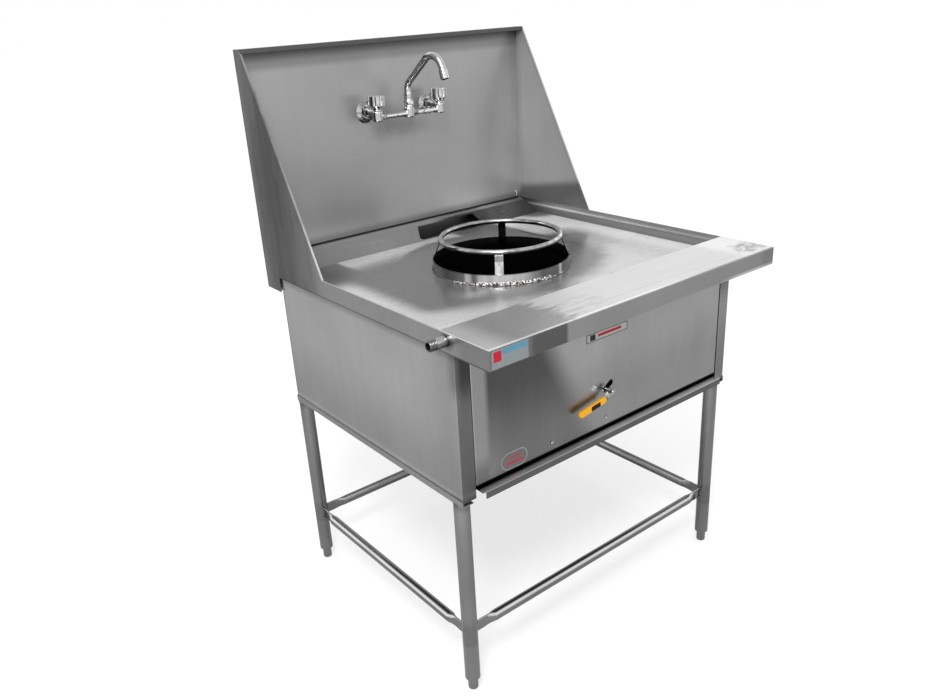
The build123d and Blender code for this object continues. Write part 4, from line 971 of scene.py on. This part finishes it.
# %% Geometry Nodes with named inputs
class Growth(Tree):
    """A Geometry Nodes tree that grows a piece; inputs gives the kind of each named input."""

    def __init__(self, name, inputs):
        super().__init__(bpy.data.node_groups.new(name, "GeometryNodeTree"))
        sockets = self.group.interface
        self.keys = {}
        for label, kind in inputs.items():
            self.keys[label] = sockets.new_socket(label, socket_type=f"NodeSocket{kind}").identifier
        sockets.new_socket("Geometry", in_out="OUTPUT", socket_type="NodeSocketGeometry")
        self.entry = self.add("NodeGroupInput")

    def given(self, label):
        return self.output(self.entry, label)

    def end(self, shape):
        """Makes the copies real and gives them their metal."""
        real = self.add("GeometryNodeRealizeInstances", {}, {"Geometry": shape})
        dressed = self.add("GeometryNodeSetMaterial", {}, {"Geometry": real, "Material": self.given("Metal")})
        self.add("NodeGroupOutput", {}, {"Geometry": dressed})
        print(self.group.name, "has", len(self.group.nodes), "nodes")

    def grow(self, piece, **values):
        """Runs the tree on a piece and keeps the mesh that comes out."""
        modifier = piece.modifiers.new("grow", "NODES")
        modifier.node_group = self.group
        for label, value in values.items():
            modifier[self.keys[label]] = value
        make_plain(piece)
        piece.data.shade_smooth()


print("growth language ready")

# %% A tree that lays a bead along a path
TURN_SEED, SIZE_SEED = 3, 8
ROUNDNESS = 2
ANY_TURN = (pi, pi, 2 * pi)
RANDOM = "FunctionNodeRandomValue"
FLOAT_MIN, FLOAT_MAX, FLOAT_OUTPUT = 2, 3, 1  # its sockets for plain numbers
bead_inputs = {"Geometry": "Geometry", "Count": "Int", "Width": "Float", "Smallest": "Float"}
bead = Growth("weld_bead", {**bead_inputs, "Metal": "Material"})
path = bead.add("GeometryNodeMeshToCurve", {}, {"Mesh": bead.given("Geometry")})
spread = bead.add("GeometryNodeResampleCurve", {}, {"Curve": path, "Count": bead.given("Count")})
puddle = bead.add("GeometryNodeMeshIcoSphere", {}, {"Subdivisions": ROUNDNESS})
spin = bead.add(RANDOM, {"data_type": "FLOAT_VECTOR"}, {"Max": ANY_TURN, "Seed": TURN_SEED})
share_range = {FLOAT_MIN: bead.given("Smallest"), FLOAT_MAX: 1.0, "Seed": SIZE_SEED}
size = bead.add(RANDOM, {}, share_range, FLOAT_OUTPUT) * bead.given("Width")
strewing = {"Points": spread, "Instance": puddle, "Rotation": spin, "Scale": size}
bead.end(bead.add("GeometryNodeInstanceOnPoints", {}, strewing))

# %% [markdown]
# A weld's path is a row of points. A fresh bead is bright silver with burnt pits between its puddles, and an
# older one is dull, so fine noise turns each finish from dark to light.

# %% Bead finishes and the function that lays a bead
def weld_metal(name, dark, light, lumps, rough, mirror):
    finish = new_finish(name)
    pits = finish.noise(lumps).rise(0.42, 0.60)
    normal = finish.bump(finish.noise(1.2 * MM, 2.0), 0.3 * MM)
    colour = finish.mix(pits, grey(dark, 0.05), grey(light, 0.03))
    return finish.surface(base_color=colour, metallic=mirror, roughness=rough + pits * 0.05, normal=normal)


BRIGHT_WELD = weld_metal("bright_weld", 0.03, 1.0, 4 * MM, 0.20, 0.5)
DULL_WELD = weld_metal("dull_weld", 0.04, 0.34, 6 * MM, 0.35, 0.9)


def adopt(piece, host):
    """Joins a finished piece to the CAD piece that carries it."""
    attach(piece, frame["nodes"][host]["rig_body"])
    print(piece.name, len(piece.data.polygons), "faces")


def lay_bead(name, paths, count, width, smallest, metal=DULL_WELD):
    """One piece of bead along several paths; each path gets count puddles."""
    mesh = bpy.data.meshes.new(name)
    points, edges = [], []
    for path in paths:
        edges += [(len(points) + k, len(points) + k + 1) for k in range(len(path) - 1)]
        points += path
    mesh.from_pydata(points, edges, [])
    piece = add_object(name, mesh)
    bead.grow(piece, Count=count, Width=width, Smallest=smallest, Metal=metal)
    adopt(piece, "worktop")


def arc(centre, radius, start, end, steps=48):
    """Points on a level arc, from one angle in degrees to another."""
    angles = [radians(start + (end - start) * k / steps) for k in range(steps + 1)]
    return [centre + radius * Vector((cos(a), sin(a), 0)) for a in angles]


def level(vector):
    """The level direction of a vector."""
    return Vector((vector.x, vector.y, 0)).normalized()


def at_height(point, height):
    return Vector((point.x, point.y, height))


print("bead finishes:", BRIGHT_WELD.name, "and", DULL_WELD.name)

# %% [markdown]
# The collar's weld is thick and ragged where it faces the cook, and neat round the rest. The legs are welded
# to the cabinet all round their tops, each brace at both of its ends, and each post at its head. The last
# bead closes the cabinet's corner under the splashback.

# %% The welds
collar_foot = burner + Vector((0, 0, SHEET + 1 * MM))
wall_radius = lining_radius + 2 * MM
ragged = [
    arc(collar_foot + Vector((0, 0, 1 * MM)), wall_radius + 3.5 * MM, -172, -84),
    arc(collar_foot + Vector((0, 0, 4 * MM)), wall_radius + 1.5 * MM, -150, -88),
]
neat = [arc(collar_foot, wall_radius + 2 * MM, -84, 188, steps=96)]
lay_bead("collar_weld_front", ragged, count=90, width=3.6 * MM, smallest=0.35, metal=BRIGHT_WELD)
lay_bead("collar_weld_rear", neat, count=280, width=1.8 * MM, smallest=0.5)

LEGS = ("leg_front_left", "leg_front_right", "leg_rear_left", "leg_rear_right")
leg_low, leg_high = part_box(LEGS[0])
leg_radius = (leg_high.x - leg_low.x) / 2
tops = [at_height(middle_of(leg), leg_high.z - 1.2 * MM) for leg in LEGS]
leg_tops = [arc(lit_top, leg_radius - 0.3 * MM, 0, 360) for lit_top in tops]
lay_bead("leg_top_welds", leg_tops, count=72, width=1.7 * MM, smallest=0.4)

BRACES = {
    "brace_front": ("leg_front_left", "leg_front_right"),
    "brace_left": ("leg_front_left", "leg_rear_left"),
    "brace_right": ("leg_front_right", "leg_rear_right"),
    "brace_rear": ("leg_rear_left", "leg_rear_right"),
}
brace_ends = []
for brace, legs in BRACES.items():
    brace_low, brace_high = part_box(brace)
    for near, far in (legs, legs[::-1]):
        run = level(middle_of(far) - middle_of(near))
        across = Vector((-run.y, run.x, 0)) * 2.5 * MM
        meeting = middle_of(near) + run * (leg_radius + 0.5 * MM)
        for place in (meeting - across, meeting + across):
            foot = at_height(place, brace_low.z + 1 * MM)
            brace_ends.append([foot, at_height(place, brace_high.z - 1 * MM)])
lay_bead("brace_welds", brace_ends, count=16, width=1.7 * MM, smallest=0.4)

ring_low, ring_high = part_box("wok_ring")
seat_radius = (ring_high.x - ring_low.x) / 2 - 7 * MM
post_heads = []
for number in (1, 2, 3, 4):
    outward = level(middle_of(f"ring_post_{number}") - burner)
    across = Vector((-outward.y, outward.x, 0)) * 6 * MM
    head = at_height(burner + outward * seat_radius, ring_low.z + 1.5 * MM)
    post_heads.append([head - across, head + across])
lay_bead("post_welds", post_heads, count=14, width=1.4 * MM, smallest=0.4)

seam_foot = Vector((wing_low.x - 2.5 * MM, back_high.y - 4 * MM, back_low.z + 4 * MM))
seam = [seam_foot, seam_foot + Vector((0, 0, 22 * MM))]
lay_bead("corner_weld", [seam], count=22, width=2.0 * MM, smallest=0.3, metal=BRIGHT_WELD)

# %% [markdown]
# ## A dark rod under the splashback
# The splashback stands on the back of the worktop with a narrow gap between them, which shows as a thin
# black line of shade. A plain dark rod, half hidden in the joint, stands in for that shade.

# %% The dark rod in the joint
JOINT_ROD_RADIUS, JOINT_ROD_SIDES = 1.8 * MM, 12


def dark_filler(name, tone):
    finish = new_finish(name)
    dust = finish.noise(5 * MM, 4.0)
    colour = finish.mix(dust, grey(tone * 0.6), grey(tone * 1.6))
    return finish.surface(base_color=colour, roughness=0.75 + dust * 0.15, specular_ior_level=0.2)


def rod(name, start, end, radius, sides):
    """A closed round rod between two points."""
    shape = bmesh.new()
    turn = (end - start).to_track_quat("Z", "Y").to_matrix().to_4x4()
    sizes = {"segments": sides, "radius1": radius, "radius2": radius, "depth": (end - start).length}
    bmesh.ops.create_cone(shape, cap_ends=True, matrix=Matrix.Translation((start + end) / 2) @ turn, **sizes)
    mesh = mesh_of(name, shape)
    shade_round(mesh)
    return add_object(name, mesh)


joint_rod_y, joint_rod_z = back_high.y - 2.6 * MM, back_low.z - 1 * MM
joint_rod_left = Vector((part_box("wing_left")[1].x, joint_rod_y, joint_rod_z))
joint_rod_right = Vector((wing_low.x, joint_rod_y, joint_rod_z))
# The dark rod is painted shade for the gap under the splashback.
joint_rod = rod("joint_shade_rod", joint_rod_left, joint_rod_right, JOINT_ROD_RADIUS, JOINT_ROD_SIDES)
joint_rod.data.materials.append(dark_filler("dark_joint_shade", 0.012))
adopt(joint_rod, "worktop")

# %% [markdown]
# ## The inlet's thread
# The inlet ends in a pipe thread behind a smooth coupling. A thread is a helix, so Geometry Nodes draws one
# spiral and sweeps a small ring along it. The pitch and the number of turns are inputs of the tree.

# %% The thread
THREAD_TURNS, THREAD_LENGTH, THREAD_RADIUS = 8.0, 15 * MM, 10.7 * MM
THREAD_START, RIDGE_RADIUS = 1.2 * MM, 0.75 * MM
STEPS_PER_TURN, RIDGE_SIDES = 28, 6
thread_inputs = dict.fromkeys(("Turns", "Radius", "Length", "Ridge"), "Float")
winding = Growth("pipe_thread", {"Geometry": "Geometry", **thread_inputs, "Metal": "Material"})
spiral = winding.add("GeometryNodeCurveSpiral", {}, {
    "Resolution": STEPS_PER_TURN,
    "Rotations": winding.given("Turns"),
    "Start Radius": winding.given("Radius"),
    "End Radius": winding.given("Radius"),
    "Height": winding.given("Length"),
})
ring_sizes = {"Resolution": RIDGE_SIDES, "Radius": winding.given("Ridge")}
ring = winding.add("GeometryNodeCurvePrimitiveCircle", {}, ring_sizes)
sweeping = {"Curve": spiral, "Profile Curve": ring, "Fill Caps": True}
winding.end(winding.add("GeometryNodeCurveToMesh", {}, sweeping))

inlet_thread = add_object("inlet_thread", bpy.data.meshes.new("inlet_thread"))
thread_sizes = {"Radius": THREAD_RADIUS, "Length": THREAD_LENGTH, "Ridge": RIDGE_RADIUS}
winding.grow(inlet_thread, Turns=THREAD_TURNS, **thread_sizes, Metal=slot_finish["pipe"])
thread_place = Matrix.Translation(inlet_end + Vector((THREAD_START, 0, 0)))
inlet_thread.data.transform(thread_place @ Matrix.Rotation(pi / 2, 4, "Y"))
adopt(inlet_thread, "gas_inlet_pipe")

# %% [markdown]
# ## Plates and labels
# The real range wears a printed label on its apron, a riveted plate under the shelf, an oval label low on the
# front and a print on the lever's sleeve. Here they stay bare: plain colour fields and borders, without a
# word or a sign. Each is a thin rounded sheet, and the colour fields are masks in its finish.

# %% How a plate is made
PRINT_EDGE = 0.5 * MM
CORNER_STEPS = 8
CORNER_SIDES = ((1, 1), (-1, 1), (-1, -1), (1, -1))


def within(value, middle, reach):
    """1 where a value is nearer to the middle than the reach, with a soft printed edge."""
    low, high = middle - reach, middle + reach
    return value.band(low - PRINT_EDGE, low + PRINT_EDGE, high - PRINT_EDGE, high + PRINT_EDGE)


def plate_finish(name, centre, ground, fields, rough, mirror):
    """A ground colour with fields: place across and up, half width and half height in mm, and colour."""
    finish = new_finish(name)
    wear = finish.noise(9 * MM, 4.0)
    colour = finish.mix(wear * 0.5, ground, tuple(0.6 * c for c in ground[:3]) + (1,))
    for across, up, half_width, half_height, paint in fields:
        inside = within(finish.x, centre.x + across * MM, half_width * MM)
        inside = inside * within(finish.z, centre.z + up * MM, half_height * MM)
        colour = finish.mix(inside, colour, paint)
    rough = rough + wear * 0.15
    return finish.surface(base_color=colour, roughness=rough, metallic=mirror, specular_ior_level=0.2)


def plate(name, host, centre, sizes, ground, fields=(), rough=0.35, mirror=0.0, tilt=0.0):
    """A rounded sheet on the front of its host. Sizes are its width, height, corner radius and thickness
    in mm, centre is the middle of its back, and tilt turns it in its plane."""
    width, height, corner, thickness = (size * MM for size in sizes)
    turn = Matrix.Rotation(-tilt, 3, "Y")
    shape = bmesh.new()
    back, front = [], []
    for quarter, (side, rise) in enumerate(CORNER_SIDES):
        middle = Vector((side * (width / 2 - corner), 0, rise * (height / 2 - corner)))
        for k in range(CORNER_STEPS + 1):
            angle = radians(90 * quarter + 90 * k / CORNER_STEPS)
            point = centre + turn @ (middle + corner * Vector((cos(angle), 0, sin(angle))))
            back.append(shape.verts.new(point))
            front.append(shape.verts.new(point - Vector((0, thickness, 0))))
    shape.faces.new(front)
    shape.faces.new(back[::-1])
    for k in range(len(front)):
        shape.faces.new((front[k - 1], back[k - 1], back[k], front[k]))
    bmesh.ops.recalc_face_normals(shape, faces=shape.faces)
    mesh = mesh_of(name, shape)
    mesh.materials.append(plate_finish(name, centre, ground, fields, rough, mirror))
    adopt(add_object(name, mesh), host)


print("a plate's outline has", len(CORNER_SIDES) * (CORNER_STEPS + 1), "points")

# %% [markdown]
# The label's two fields, the plate's dark rim, bright ground and bars, and the oval's two bars have the
# places and colours of the print on the real ones. The oval's rim is a sheet of its own behind it, so that
# the border keeps its width round the curve.

# %% The plates
RED, BLUE, INK = (0.50, 0.012, 0.03, 1), (0.10, 0.27, 0.38, 1), (0.03, 0.03, 0.03, 1)
PALE, SILVER, BRUSHED = (0.26, 0.29, 0.30, 1), (0.52, 0.52, 0.51, 1), (0.55, 0.55, 0.54, 1)
OVAL_RIM, OVAL_DARK, PATCH_INK = (0.42, 0.42, 0.41, 1), (0.15, 0.15, 0.15, 1), (0.012, 0.006, 0.004, 1)
OVAL_THICK = 0.10
LABEL_SIZES, NAME_SIZES, PATCH_SIZES = (90, 37, 3, 0.03), (134, 21, 2, 0.6), (29, 11.5, 1.5, 0.12)
OVAL_RIM_SIZES, OVAL_SIZES = (74, 40, 19.9, OVAL_THICK), (71, 37, 18.4, OVAL_THICK)
PATCH_TILT = radians(8)

label_fields = [(12, 11.5, 32, 5.5, BLUE), (-31, 5, 9.5, 10.5, RED)]
label_place = Vector((left_x + 50 * MM, front_y, rim_z - 21.5 * MM))
plate("apron_label", "front_shelf", label_place, LABEL_SIZES, PALE, label_fields)

name_fields = [(0, 0, 66.5, 10, INK), (0, 0, 64.5, 8.4, SILVER), (8, 1, 38, 3.2, RED), (-47, 0, 8.5, 7, INK)]
name_place = Vector((middle_x - 10.5 * MM, panel_low.y, rim_z - 119 * MM))
plate("name_plate", "front_panel", name_place, NAME_SIZES, BRUSHED, name_fields, rough=0.3, mirror=0.3)

oval_place = Vector((middle_x - 297 * MM, panel_low.y, 571 * MM))
plate("oval_label_rim", "front_panel", oval_place, OVAL_RIM_SIZES, OVAL_RIM)
oval_face = oval_place - Vector((0, OVAL_THICK * MM, 0))
oval_fields = [(0, 8, 20, 1.4, RED), (0, -6, 24, 2.2, RED)]
plate("oval_label", "front_panel", oval_face, OVAL_SIZES, OVAL_DARK, oval_fields)

sleeve_place = middle_of("lever_sleeve") + Vector((7 * MM, 0, 1 * MM))
sleeve_place.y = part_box("lever_sleeve")[0].y
plate("sleeve_patch", "lever_sleeve", sleeve_place, PATCH_SIZES, PATCH_INK, tilt=PATCH_TILT)
